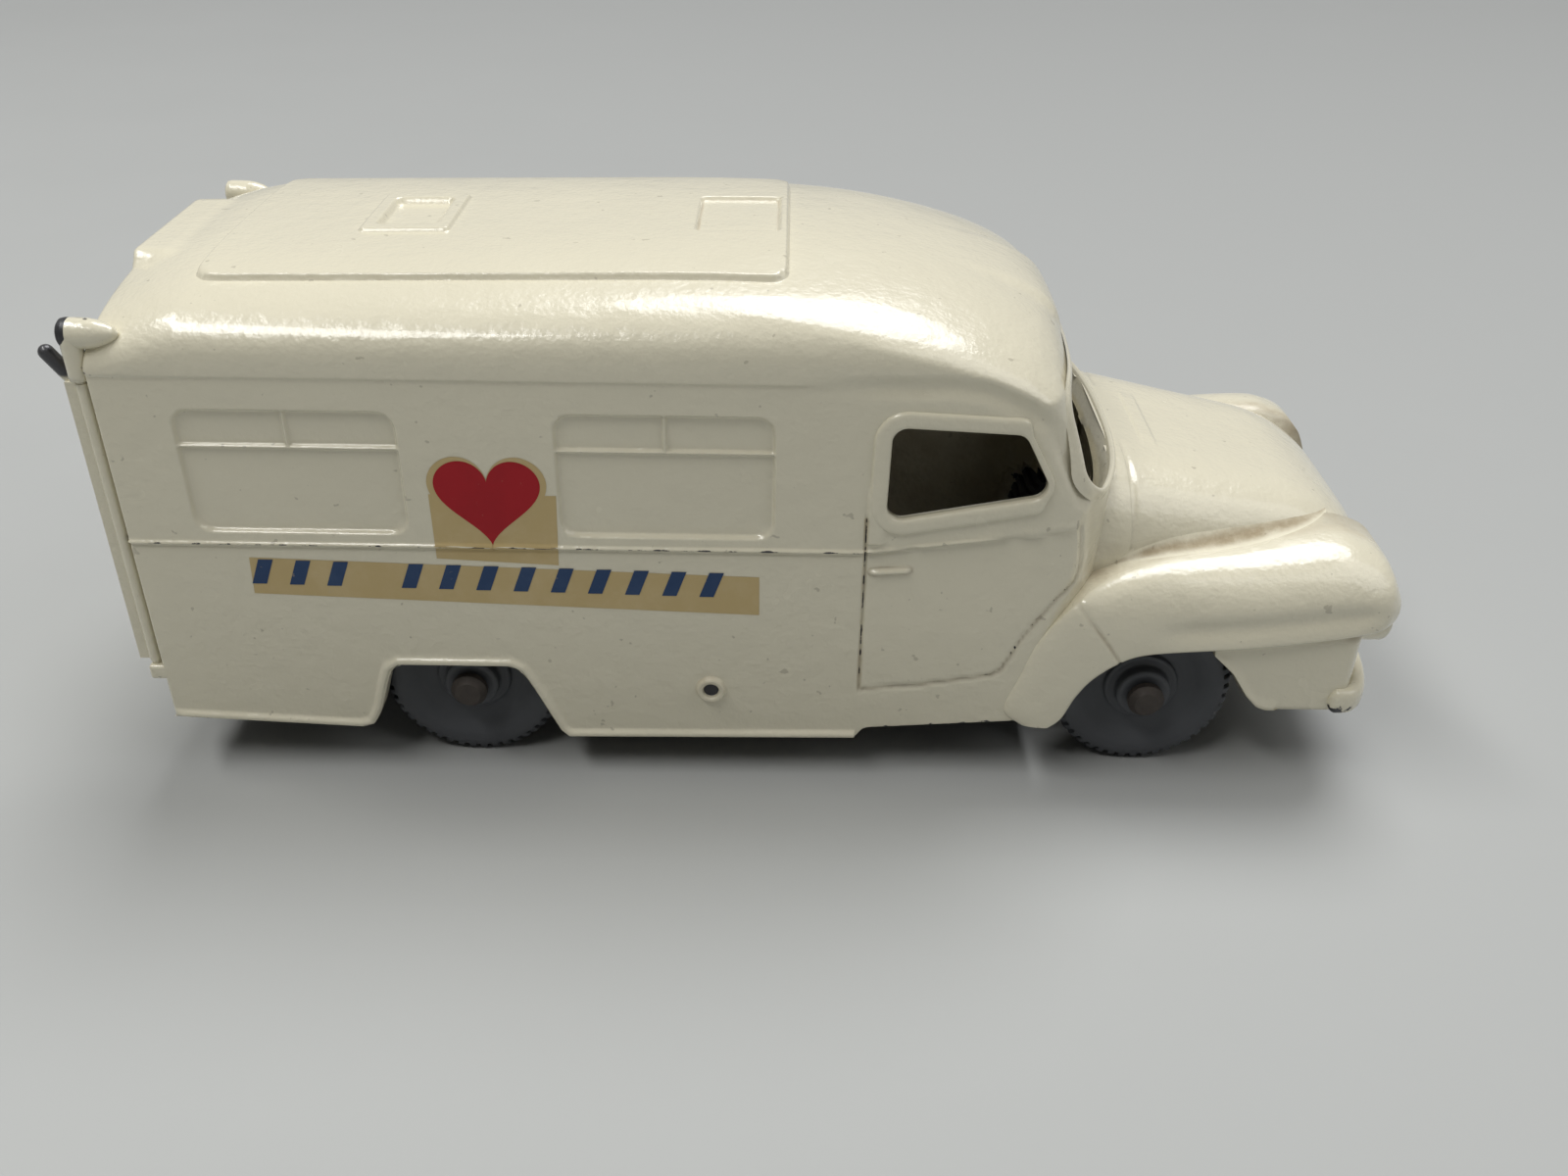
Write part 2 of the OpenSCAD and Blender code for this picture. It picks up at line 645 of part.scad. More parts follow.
// Bumper bar that wraps round the apron's corners
module bumper() {
    ends_x = front_x - bumper_wrap;
    translate([0, 0, bumper_low_h]) linear_extrude(bumper_h)
        intersection() {
            difference() {
                front_plan(apron_w + 2 * bumper_out, 0, apron_corner + apron_setback - bumper_out);
                front_plan(apron_w - wall, apron_setback + wall / 2, apron_corner);
            }
            translate([ends_x, -body_w]) square([bumper_wrap, 2 * body_w]);
        }
}

// Left headlamp with its bezel and lens
module headlamp() {
    bezel_x = front_x - lamp_setback;
    lens_ball_r = (lens_r * lens_r + lens_bulge * lens_bulge) / (2 * lens_bulge);
    translate([bezel_x, lamp_pitch / 2, lamp_h]) rotate([0, 90, 0]) {
        translate([0, 0, -nose_l / 2]) cylinder(r = lamp_r, h = nose_l / 2, $fn = 36);
        intersection() {
            translate([0, 0, lens_bulge - lens_ball_r]) sphere(r = lens_ball_r, $fn = 48);
            translate([0, 0, -lens_bulge]) cylinder(r = lens_r, h = 2 * lens_bulge, $fn = 36);
        }
    }
}

// Slots of the grille, following the nose's plan
module grille_cuts() {
    for (i = [0 : grille_slots - 1])
        translate([0, 0, grille_low_h + i * grille_pitch]) linear_extrude(grille_slot)
            difference() {
                translate([nose_x, -grille_w / 2]) square([nose_l + over, grille_w]);
                polygon(concat([[nose_x - over, -hood_half_w(nose_x)]],
                    [for (j = [0 : nose_steps])
                        let (x = nose_x + nose_l * nose_last_share * sin(90 * j / nose_steps))
                        [x - grille_depth, -hood_half_w(x)]],
                    [for (j = [nose_steps : -1 : 0])
                        let (x = nose_x + nose_l * nose_last_share * sin(90 * j / nose_steps))
                        [x - grille_depth, hood_half_w(x)]],
                    [[nose_x - over, hood_half_w(nose_x)]]));
            }
}

// Outline of a cab window
module cab_window() {
    rounded(cab_window_r) polygon([for (p = cab_window_shares)
        [rear_x + cab_window_back + p[0] * cab_window_l, cab_window_low + p[1] * cab_window_h]]);
}

// Outline of the windscreen opening, seen from the front
module screen() {
    rounded(screen_r) polygon([
        [-screen_low_w / 2, screen_low_h], [screen_low_w / 2, screen_low_h],
        [screen_top_w / 2, screen_top_h], [-screen_top_w / 2, screen_top_h]]);
}

// Outline below the side's lower edge, with the rear wheel arch
module skirt_cut() {
    arch_x = rear_x + rear_arch_back;
    door_x = rear_x + cab_door_back;
    door_front_x = fender_back + fender_shares[0][2] * fender_l;
    rounded(rear_arch_r / 3) polygon(concat(
        [[rear_x - over, -over], [rear_x - over, skirt_rear_h], [rear_x, skirt_rear_h],
         [arch_x, skirt_mid_h]],
        [for (p = rear_arch_shares) [arch_x + p[0] * rear_arch_l, p[1] * rear_arch_h]],
        [[arch_x + rear_arch_l, sill_h], [door_x, sill_front_h], [door_x + line_w, door_sill_h],
         [door_front_x, door_front_h], [front_axle_x, door_front_h], [front_axle_x, -over]]));
}

// Outline of what a front fender takes the place of in the coachwork's side
module fender_cut() {
    middle = [for (r = smooth_rows(fender_shares, fender_steps))
        [fender_back + (r[0] + r[2]) / 2 * fender_l + line_w, (r[1] + r[3]) / 2 * fender_h + line_w]];
    polygon(concat(middle, [[front_x, -over], [middle[0][0], -over]]));
}

// Raised lip round the rear wheel arch
module arch_lip() {
    arch_x = rear_x + rear_arch_back;
    difference() {
        rounded(rear_arch_r / 3) offset(arch_lip_w) polygon(concat(
            [[arch_x + rear_arch_shares[0][0] * rear_arch_l, skirt_mid_h]],
            [for (p = rear_arch_shares) [arch_x + p[0] * rear_arch_l, p[1] * rear_arch_h]],
            [[arch_x + rear_arch_shares[3][0] * rear_arch_l, skirt_mid_h]]));
        translate([arch_x - over, -over]) square([rear_arch_l + 2 * over, over + skirt_mid_h]);
    }
}

// Window panel sunk in the side, with its glazing bars left standing
module window_panel() {
    side_solid(half_w - window_depth, half_w + over) difference() {
        round_rect(window_l, window_h, window_r);
        translate([0, bar_up]) square([window_l, bar_w]);
        translate([(window_l - bar_w) / 2, bar_up]) square([bar_w, window_h - bar_up]);
    }
}

// Fine line along the side from one point to another
module side_line(from, to) {
    along = to - from;
    translate([from[0], 0, from[1]]) rotate([0, -atan2(along[1], along[0]), 0])
        translate([0, half_w - line_step, -line_w / 2]) cube([norm(along), 2 * line_step, line_w]);
}

// Lines of the left side that stand out: belt bead, door handle, window rim, arch lip, filler cap
module side_beads() {
    door_x = rear_x + cab_door_back;
    door_front = [door_x + cab_door_l, belt_h + belt_climb];
    side_line([rear_x, belt_h], [door_x, belt_h]);
    side_line([door_x, belt_h], door_front);
    side_line([door_x + line_w, belt_h - 4 * line_w], [door_x + line_w + cab_handle_l, belt_h - 4 * line_w]);
    side_solid(half_w - wall, half_w + rim_step) difference() {
        offset(rim_w) cab_window();
        cab_window();
    }
    side_solid(half_w - wall, half_w + line_step) arch_lip();
    translate([rear_x + filler_back, half_w - wall, filler_h]) rotate([-90, 0, 0])
        cylinder(r = filler_r, h = wall + filler_step, $fn = 28);
}

// Lines of the left side that are cut in: cab door gaps and the filler's hollow
module side_cuts() {
    door_x = rear_x + cab_door_back;
    front_x_low = fender_back + fender_shares[4][0] * fender_l;
    side_line([door_x, cab_door_low], [door_x, cab_window_low]);
    side_line([door_x, cab_door_low], [fender_back - line_w, cab_door_low + cab_door_climb]);
    side_line([front_x_low, fender_shares[4][1] * fender_h], [door_x + cab_door_l, belt_h + belt_climb]);
    translate([rear_x + filler_back, half_w + filler_step / 3, filler_h]) rotate([-90, 0, 0])
        cylinder(r = filler_hole_r, h = over, $fn = 24);
}

// Roof panel, hatches, rear lip and peak, which follow the crown
module roof_forms() {
    panel_x = rear_x + rear_drop_l;
    difference() {
        intersection() {
            coach(-panel_step, 0, rear_x, belt_h);
            translate([panel_x, -panel_w / 2, gutter_h]) linear_extrude(2 * roof_rise)
                round_rect(panel_l, panel_w, panel_r);
        }
        intersection() {
            translate([rear_x + front_hatch_back, -front_hatch_w / 2, gutter_h])
                cube([front_hatch_l, front_hatch_w, 2 * roof_rise]);
            difference() {
                coach(-hatch_raised_share * panel_step, 0, rear_x, belt_h);
                coach(-hatch_sunk_share * panel_step, 0, rear_x - over, sill_h);
            }
        }
    }
    intersection() {
        coach(-hatch_raised_share * panel_step, 0, rear_x, belt_h);
        translate([rear_x + rear_hatch_back, -rear_hatch_w / 2, gutter_h]) difference() {
            cube([rear_hatch_l, rear_hatch_w, 2 * roof_rise]);
            translate([hatch_frame, hatch_frame, 0])
                cube([rear_hatch_l - 2 * hatch_frame, rear_hatch_w - 2 * hatch_frame, 2 * roof_rise]);
        }
    }
    translate([rear_x, -lip_w / 2, gutter_h]) cube([rear_drop_l / 2, lip_w, lip_h - gutter_h]);
    intersection() {
        translate([peak_step, 0, 0]) coach(0, 0, rear_x, belt_h);
        translate([brow_x, 0, gutter_h]) linear_extrude(roof_rise) polygon([
            [-peak_l, -peak_w / 3], [over, -peak_w / 2], [over, peak_w / 2], [-peak_l, peak_w / 3]]);
    }
}

// Boss at the left rear corner of the roof, with the ear of the upper hinge below it
module hinge_boss() {
    translate([rear_x - boss_back, hinge_y - boss_r + hinge_in, boss_h]) rotate([0, 90, 0])
        cylinder(r = boss_r, h = boss_l, $fn = 28);
    translate([hinge_x, hinge_y, door_top_h + door_end_gap])
        cylinder(r = ear_r, h = boss_h - door_top_h - door_end_gap, $fn = 28);
}

// Everything that the outer skin of the casting is joined from
module casting_skin() {
    difference() {
        coach(0, drip, rear_x, sill_h - wall);
        both_sides() for (i = [0, 1])
            translate([rear_x + window_back + i * window_pitch, 0, window_low]) window_panel();
        side_solid(-half_w - over, half_w + over) fender_cut();
    }
    roof_forms();
    hood(0, cowl_x - cowl_corner, nose_low_h);
    both_sides() {
        fender();
        headlamp();
        hinge_boss();
        side_beads();
    }
    apron();
    bumper();
    translate([0, 0, -line_step]) intersection() {
        hood(-2 * line_step, cowl_x - cowl_corner, nose_low_h);
        translate([cowl_x + vent_ahead, -vent_l / 2, hood_side_h]) cube([vent_w, vent_l, hood_rear_h]);
    }
    intersection() {
        coach(-rim_step, 0, rear_x, belt_h);
        translate([brow_x - brow_corner, 0, 0]) rotate([90, 0, 90])
            linear_extrude(cowl_x - brow_x + brow_corner + over) offset(rim_w) screen();
    }
    translate([hinge_x - door_edge_r, -half_w, door_low_h - door_end_gap - ledge_h])
        cube([wall + hinge_back + door_edge_r, body_w, ledge_h]);
}

// Everything that is hollow or open in the casting
module casting_hollows() {
    coach(wall, 0, rear_x + wall, -over);
    hood(wall, cowl_x - 2 * cowl_corner, -over);
    both_sides() {
        translate([front_axle_x, well_in_w / 2, axle_h]) rotate([-90, 0, 0])
            cylinder(r = well_r, h = (well_out_w - well_in_w) / 2, $fn = 48);
        side_solid(half_w - 2 * wall, half_w + over) cab_window();
        side_cuts();
    }
    translate([brow_x - brow_corner, 0, 0]) rotate([90, 0, 90])
        linear_extrude(cowl_x - brow_x + brow_corner + over) screen();
    translate([rear_x - over, -half_w + door_frame, door_low_h])
        cube([2 * over, body_w - 2 * door_frame, door_top_h - door_low_h]);
    side_solid(-half_w - over, half_w + over) skirt_cut();
    grille_cuts();
}

// Bores of the left door's hinge, in the ear above it and the sill below it
module hinge_bores() {
    bore_l = pin_l + 2 * running_gap;
    translate([hinge_x, hinge_y, door_top_h]) cylinder(r = pin_r + running_gap, h = door_end_gap + bore_l);
    translate([hinge_x, hinge_y, door_low_h - door_end_gap - ledge_h])
        cylinder(r = pin_r + running_gap, h = door_end_gap + ledge_h);
}

// Post from the casting down through the base plate, with its riveted end
module plate_post(x, top) {
    translate([x, 0, plate_h + plate_t]) cylinder(r = post_r, h = top - plate_h - plate_t);
    translate([x, 0, plate_h]) cylinder(r = post_r - post_step, h = plate_t);
    translate([x, 0, plate_h]) cylinder(r = rivet_r, h = rivet_t);
}

front_post_x = front_x - front_post_back;
rear_post_x = rear_x + rear_post_ahead;

module body_casting() {
    color("ivory") difference() {
        union() {
            resize([0, 0, 0]) difference() {
                casting_skin();
                casting_hollows();
            }
            plate_post(front_post_x, hood_front_h - wall / 2);
            plate_post(rear_post_x, door_low_h - door_end_gap);
        }
        both_sides() hinge_bores();
    }
}

// Cheek of the base plate round an axle
module cheek(x) {
    side_solid(cheek_out_w / 2 - cheek_t, cheek_out_w / 2) {
        translate([x, axle_h]) circle(r = cheek_r);
        translate([x - cheek_r, plate_h]) square([2 * cheek_r, axle_h - plate_h]);
    }
}

module baseplate() {
    back = rear_x + wall + plate_gap;
    front = front_x - apron_setback - wall - plate_gap - apron_corner;
    reach = tyre_r + cutout_gap;
    color([0.08, 0.08, 0.08]) difference() {
        union() {
            translate([back, -plate_w / 2, plate_h]) cube([front_axle_x - back, plate_w, plate_t]);
            translate([back, -cheek_out_w / 2, plate_h]) cube([front - back, cheek_out_w, plate_t]);
            both_sides() for (x = [rear_axle_x, front_axle_x]) cheek(x);
        }
        both_sides() for (x = [rear_axle_x, front_axle_x])
            translate([x - reach, cheek_out_w / 2, plate_h - over])
                cube([2 * reach, plate_w, plate_t + 2 * over]);
        for (x = [rear_axle_x, front_axle_x])
            translate([x, -plate_w / 2, axle_h]) rotate([-90, 0, 0])
                cylinder(r = axle_r + running_gap, h = plate_w);
        for (x = [rear_post_x, front_post_x]) translate([x, 0, plate_h - over]) {
            cylinder(r = post_r - post_step + running_gap, h = plate_t + 2 * over);
            cylinder(r = rivet_r + running_gap, h = over + rivet_t);
        }
    }
}

// Left rear door with its hinge pins and its lug, hung on the hinge line
module rear_door() {
    door_l = hinge_y - door_split / 2;
    door_h = door_top_h - door_low_h;
    face_x = rear_x - door_gap - door_t;
    lug_x = face_x + door_panel_depth;
    lug_l = (lug_reach - lug_r - rear_x + lug_x) / cos(lug_tilt);
    difference() {
        union() {
            translate([face_x, door_split / 2, door_low_h]) cube([door_t, door_l, door_h]);
            translate([hinge_x, hinge_y, door_low_h]) cylinder(r = door_edge_r, h = door_h);
            translate([hinge_x, hinge_y, door_low_h - low_pin_l])
                cylinder(r = pin_r, h = low_pin_l + door_h + pin_l);
        }
        translate([face_x - over, door_window_edge, door_top_h - door_window_down - door_window_h])
            cube([over + door_panel_depth, hinge_y - 2 * door_window_edge, door_window_h]);
        translate([face_x - over, door_window_edge, door_low_h + door_window_down])
            cube([over + door_panel_depth, hinge_y - 2 * door_window_edge,
                  door_h - 3 * door_window_down - door_window_h]);
    }
    translate([face_x - door_handle_step, door_split, belt_h - line_w])
        cube([door_handle_step + door_panel_depth, door_handle_l, 2 * line_w]);
    translate([lug_x, hinge_y - lug_in, door_top_h - door_end_gap / 2]) rotate([0, lug_tilt - 90, 0]) {
        translate([0, 0, -lug_r]) cylinder(r = lug_r, h = lug_l + lug_r);
        translate([0, 0, lug_l]) sphere(r = lug_r);
    }
}

module rear_door_left() {
    color("ivory") rear_door();
}

module rear_door_right() {
    color("ivory") mirror([0, 1, 0]) rear_door();
}

// Axle with a domed head at each end
module axle(x) {
    half = axle_l / 2;
    color("silver") translate([x, 0, axle_h]) rotate([90, 0, 0]) rotate_extrude($fn = 48)
        polygon([[0, -half], [head_r * head_flat_share, -half],
                 [head_r, -half + head_t / 2], [head_r, -half + head_t], [axle_r, -half + head_t],
                 [axle_r, half - head_t], [head_r, half - head_t], [head_r, half - head_t / 2],
                 [head_r * head_flat_share, half], [0, half]]);
}

module front_axle() {
    axle(front_axle_x);
}

module rear_axle() {
    axle(rear_axle_x);
}

// Left wheel: a dished disc with a hub, and a tyre whose tread is cut into knobs
module wheel(x) {
    out = track_out_w / 2;
    knob_angle = 360 / tread_knobs;
    color("dimgray") translate([x, out, axle_h]) rotate([90, 0, 0]) intersection() {
        rotate_extrude($fn = 96) polygon([
            [axle_r + running_gap, -hub_out], [hub_r, -hub_out], [hub_r, dish_depth / 2],
            [rim_r, dish_depth / 2], [rim_r, dish_depth], [dish_r, dish_depth],
            [dish_r + dish_depth / 2, 0], [tyre_r - tread_depth, 0], [tyre_r, tread_depth],
            [tyre_r, tyre_w - tread_depth], [tyre_r - tread_depth, tyre_w], [dish_r, tyre_w],
            [dish_r, tyre_w - dish_depth], [hub_r, tyre_w - dish_depth], [hub_r, tyre_w + hub_out],
            [axle_r + running_gap, tyre_w + hub_out]]);
        translate([0, 0, -tyre_w]) linear_extrude(3 * tyre_w) polygon([
            for (i = [0 : tread_knobs - 1], k = knob_shares)
                let (a = (i + k[0]) * knob_angle - 90, r = tyre_r - tread_depth + k[1] * 2 * tread_depth)
                [r * cos(a), r * sin(a)]]);
    }
}

module front_wheel_left() {
    wheel(front_axle_x);
}

module front_wheel_right() {
    mirror([0, 1, 0]) wheel(front_axle_x);
}

module rear_wheel_left() {
    wheel(rear_axle_x);
}

module rear_wheel_right() {
    mirror([0, 1, 0]) wheel(rear_axle_x);
}

body_casting();
baseplate();
rear_door_right();
rear_door_left();
front_axle();
rear_axle();
front_wheel_right();
front_wheel_left();
rear_wheel_right();
rear_wheel_left();
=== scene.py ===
# %% [markdown]
# # A cast toy ambulance
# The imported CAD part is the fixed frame: its joints, its outline and its sizes stay as they are.
# Here each cast form gets a fine surface of its own, worn cream enamel, and a plain studio round it.

import bmesh
import bpy
import numpy as np
from mathutils import Matrix, Vector


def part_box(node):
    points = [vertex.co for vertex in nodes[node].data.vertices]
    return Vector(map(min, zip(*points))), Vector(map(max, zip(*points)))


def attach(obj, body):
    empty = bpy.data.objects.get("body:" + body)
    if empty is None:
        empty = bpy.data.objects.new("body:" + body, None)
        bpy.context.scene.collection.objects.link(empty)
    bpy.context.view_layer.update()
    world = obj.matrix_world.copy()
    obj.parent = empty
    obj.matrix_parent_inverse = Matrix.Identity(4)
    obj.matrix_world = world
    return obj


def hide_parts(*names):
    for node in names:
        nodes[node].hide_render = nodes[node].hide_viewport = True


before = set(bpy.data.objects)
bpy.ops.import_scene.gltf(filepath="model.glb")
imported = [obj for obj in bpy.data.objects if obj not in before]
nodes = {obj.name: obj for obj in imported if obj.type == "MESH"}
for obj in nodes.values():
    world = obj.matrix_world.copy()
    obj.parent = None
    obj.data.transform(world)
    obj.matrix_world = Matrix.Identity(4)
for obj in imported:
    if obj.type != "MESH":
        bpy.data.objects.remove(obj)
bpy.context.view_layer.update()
print("nodes:", sorted(nodes))

# %% [markdown]
# ## Grids
# Every new piece is a grid of points, a function of two parameters, whose neighbours are joined by
# four-sided faces. A helper keeps the array work in one place. The other way, pushing single
# vertices about by hand, would tie the shape to clicks instead of formulas. Lengths are in
# millimetres until the mesh is made.

# %% Helpers for grids
MM = 0.001


def patch(points, keep=None, flip=False, round_i=False, round_j=False, wear=0.0, grime=0.0):
    """One grid P[i, j]: quads join (i, j), (i+1, j), (i+1, j+1), (i, j+1); keep drops faces,
    round_i and round_j join the last row or column to the first."""
    points = np.asarray(points, float)
    shape = points.shape[:2]
    index = np.arange(shape[0] * shape[1]).reshape(shape)
    if round_i:
        index = np.vstack([index, index[:1]])
    if round_j:
        index = np.hstack([index, index[:, :1]])
    quads = np.stack([index[:-1, :-1], index[1:, :-1], index[1:, 1:], index[:-1, 1:]], -1)
    quads = quads[keep] if keep is not None else quads.reshape(-1, 4)
    if flip:
        quads = quads[:, ::-1]
    fields = [np.broadcast_to(f, shape).ravel() for f in (wear, grime)]
    return points.reshape(-1, 3), quads, fields


def add(name, data):
    """A new object in the scene that shows this data."""
    obj = bpy.data.objects.new(name, data)
    bpy.context.scene.collection.objects.link(obj)
    return obj


def piece(name, patches, material, body="shell", stands_for=("body_casting",)):
    """One smooth mesh object from patches, welded where they meet, riding on a body."""
    first = np.cumsum([0] + [len(p[0]) for p in patches])
    points = np.concatenate([p[0] for p in patches]) * MM
    quads = np.concatenate([p[1] + k for p, k in zip(patches, first)])
    mesh = bpy.data.meshes.new(name)
    mesh.vertices.add(len(points))
    mesh.vertices.foreach_set("co", points.astype(np.float32).ravel())
    mesh.loops.add(quads.size)
    mesh.loops.foreach_set("vertex_index", quads.astype(np.int32).ravel())
    mesh.polygons.add(len(quads))
    mesh.polygons.foreach_set("loop_start", np.arange(0, quads.size, 4, dtype=np.int32))
    mesh.update(calc_edges=True)
    for k, field in enumerate(("wear", "grime")):
        values = np.concatenate([p[2][k] for p in patches]).astype(np.float32)
        mesh.attributes.new(field, "FLOAT", "POINT").data.foreach_set("value", values)
    work = bmesh.new()
    work.from_mesh(mesh)
    bmesh.ops.remove_doubles(work, verts=work.verts, dist=1.5e-6)
    bmesh.ops.dissolve_degenerate(work, edges=work.edges, dist=1e-7)
    loose = [v for v in work.verts if not v.link_faces]
    bmesh.ops.delete(work, geom=loose, context="VERTS")
    work.to_mesh(mesh)
    work.free()
    mesh.polygons.foreach_set("use_smooth", np.ones(len(mesh.polygons), bool))
    mesh.materials.append(material)
    obj = add(name, mesh)
    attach(obj, body)
    if stands_for:
        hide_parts(*stands_for)
    triangles = sum(len(p.vertices) - 2 for p in mesh.polygons)
    print(f"{name}: {len(mesh.vertices)} points, {triangles} triangles")


def ease(v):
    """Smooth step from 0 to 1 as v goes from 0 to 1."""
    v = np.clip(v, 0, 1)
    return v * v * (3 - 2 * v)


def lines(low, high, step, marks=(), fine=0.05, reach=0.3):
    """Grid lines from low to high: step apart, and fine apart within reach of each mark."""
    near = [np.arange(m - reach, m + reach + fine / 2, fine) for m in marks]
    plain = np.arange(low, high, step)
    for m in marks:
        plain = plain[np.abs(plain - m) > reach]
    every = np.unique(np.concatenate([plain, [low, high], *near]).round(4))
    every = every[(every >= low) & (every <= high)]
    keep = np.concatenate([[True], np.diff(every) > fine / 4])
    return every[keep]


def grid_normals(points):
    """Unit normals of a grid, from the cross product of its two directions."""
    normal = np.cross(np.gradient(points, axis=0), np.gradient(points, axis=1))
    return normal / np.maximum(np.linalg.norm(normal, axis=-1, keepdims=True), 1e-12)


def mirrored(points):
    """The same grid on the other side of the vehicle."""
    return points * np.array([1, -1, 1])


def middle(grid):
    """Middles of the faces of a grid."""
    return (grid[:-1, :-1] + grid[1:, :-1] + grid[1:, 1:] + grid[:-1, 1:]) / 4


def least(grid):
    """Least of the four corners of each face of a grid."""
    return np.minimum.reduce([grid[:-1, :-1], grid[1:, :-1], grid[1:, 1:], grid[:-1, 1:]])


# %% [markdown]
# ## Sizes
# The values below are those of the CAD source, so that each fine surface lies on the solid that it
# stands for. The overall box is read from the frame.

# %% Sizes of the coachwork
high = [np.array(v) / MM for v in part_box("body_casting")][1]
front_x = high[0]
rear_x = -front_x + 2.45
half_w, gutter_h, rise, drip = 12.25, 23.5, 4.2, 0.1
wall = 1.1
crown_l = 32.2
crown_x, brow_x, cowl_x = rear_x + crown_l, rear_x + 47.7, rear_x + 51.3
cowl_h, header_h = 17.0, 22.6
belt_h = 14.33
plan_power = 2.4
rear_axle_x = rear_x + 16.2
front_axle_x = rear_axle_x + 36.95
axle_h = 4.9
tyre_r, tyre_w, tyre_out_y = 4.9, 3.2, 10.75
print("front", front_x.round(3), "rear", rear_x.round(3))
print("axles", rear_axle_x.round(3), front_axle_x.round(3))

# %% Room for the front wheels
tyre_room, tread_room, axle_room_r = 0.15, 0.3, 1.4


def wheel_room(points):
    """Faces of a grid that leave room for the front wheels and their axle: every corner lies outside the
    turning tread, or beside the tyre and clear of the axle."""
    y = np.abs(points[..., 1])
    away = least(np.hypot(points[..., 0] - front_axle_x, points[..., 2] - axle_h))
    beside_tyre = (least(y) > tyre_out_y + tyre_room) | (least(-y) > tyre_room + tyre_w - tyre_out_y)
    return (away > tyre_r + tread_room) | (beside_tyre & (away > axle_room_r))


# %% [markdown]
# ## Enamel, bare metal and the other finishes
# The paint is cream enamel. It has a faint orange-peel, a little dust, a darker brown from a field of
# the grid (real grime in the creases, and painted shade along some sunk outlines and on inside faces)
# and dark bare zinc where edges have worn through (the field "wear" times a noise). Worn spots could
# be painted as an image instead, but fields of the grid follow each edge without any picture.

# %% Shader helpers
def new_material(name):
    """A material with a shader and its output alone; returns also its tree and a maker of nodes."""
    material = bpy.data.materials.new(name)
    material.use_nodes = True
    tree = material.node_tree
    tree.nodes.clear()
    shader = tree.nodes.new("ShaderNodeBsdfPrincipled")
    output = tree.nodes.new("ShaderNodeOutputMaterial")
    tree.links.new(shader.outputs[0], output.inputs[0])

    def make(kind, links=None, **settings):
        node = tree.nodes.new(kind)
        for key, value in settings.items():
            setattr(node, key, value)
        for socket, value in (links or {}).items():
            if isinstance(value, bpy.types.NodeSocket):
                tree.links.new(value, node.inputs[socket])
            else:
                node.inputs[socket].default_value = value
        return node

    return material, tree, shader, make


def noise(make, coords, scale, detail=3.0, rough=0.5):
    """Noise over object coordinates, from 0 to 1."""
    inputs = {"Vector": coords, "Scale": scale, "Detail": detail, "Roughness": rough}
    return make("ShaderNodeTexNoise", inputs).outputs[0]


def ramp(make, value, low_at, high_at):
    """0 below low_at, 1 above high_at, smooth between."""
    inputs = {0: value, 1: low_at, 2: high_at}
    return make("ShaderNodeMapRange", inputs, interpolation_type="SMOOTHSTEP").outputs[0]


def spread(make, value, lowest, highest):
    """The middle part of a noise, from 0.2 to 0.8, stretched from lowest to highest."""
    inputs = {0: value, 1: 0.2, 2: 0.8, 3: lowest, 4: highest}
    return make("ShaderNodeMapRange", inputs).outputs[0]


def mix(make, share, first, second):
    """Colour mix: first where share is 0, second where it is 1."""
    node = make("ShaderNodeMix", data_type="RGBA")
    for socket, value in ((0, share), (6, first), (7, second)):
        if isinstance(value, bpy.types.NodeSocket):
            node.id_data.links.new(value, node.inputs[socket])
        else:
            node.inputs[socket].default_value = value
    return node.outputs[2]


def combine(make, first, second, operation="MULTIPLY"):
    """Two values put through one arithmetic step."""
    return make("ShaderNodeMath", {0: first, 1: second}, operation=operation).outputs[0]


# %% Cream enamel
cream_colour = (0.75, 0.705, 0.55)
bare_metal = (0.055, 0.055, 0.06, 1)
# The second colour is the brown of grime, and it also serves as painted shade.
speck_colour, dirt_and_shade_colour = (0.20, 0.17, 0.12, 1), (0.26, 0.18, 0.09, 1)
chip_from, chip_to = 0.93, 0.97
bare_fade = 0.0003


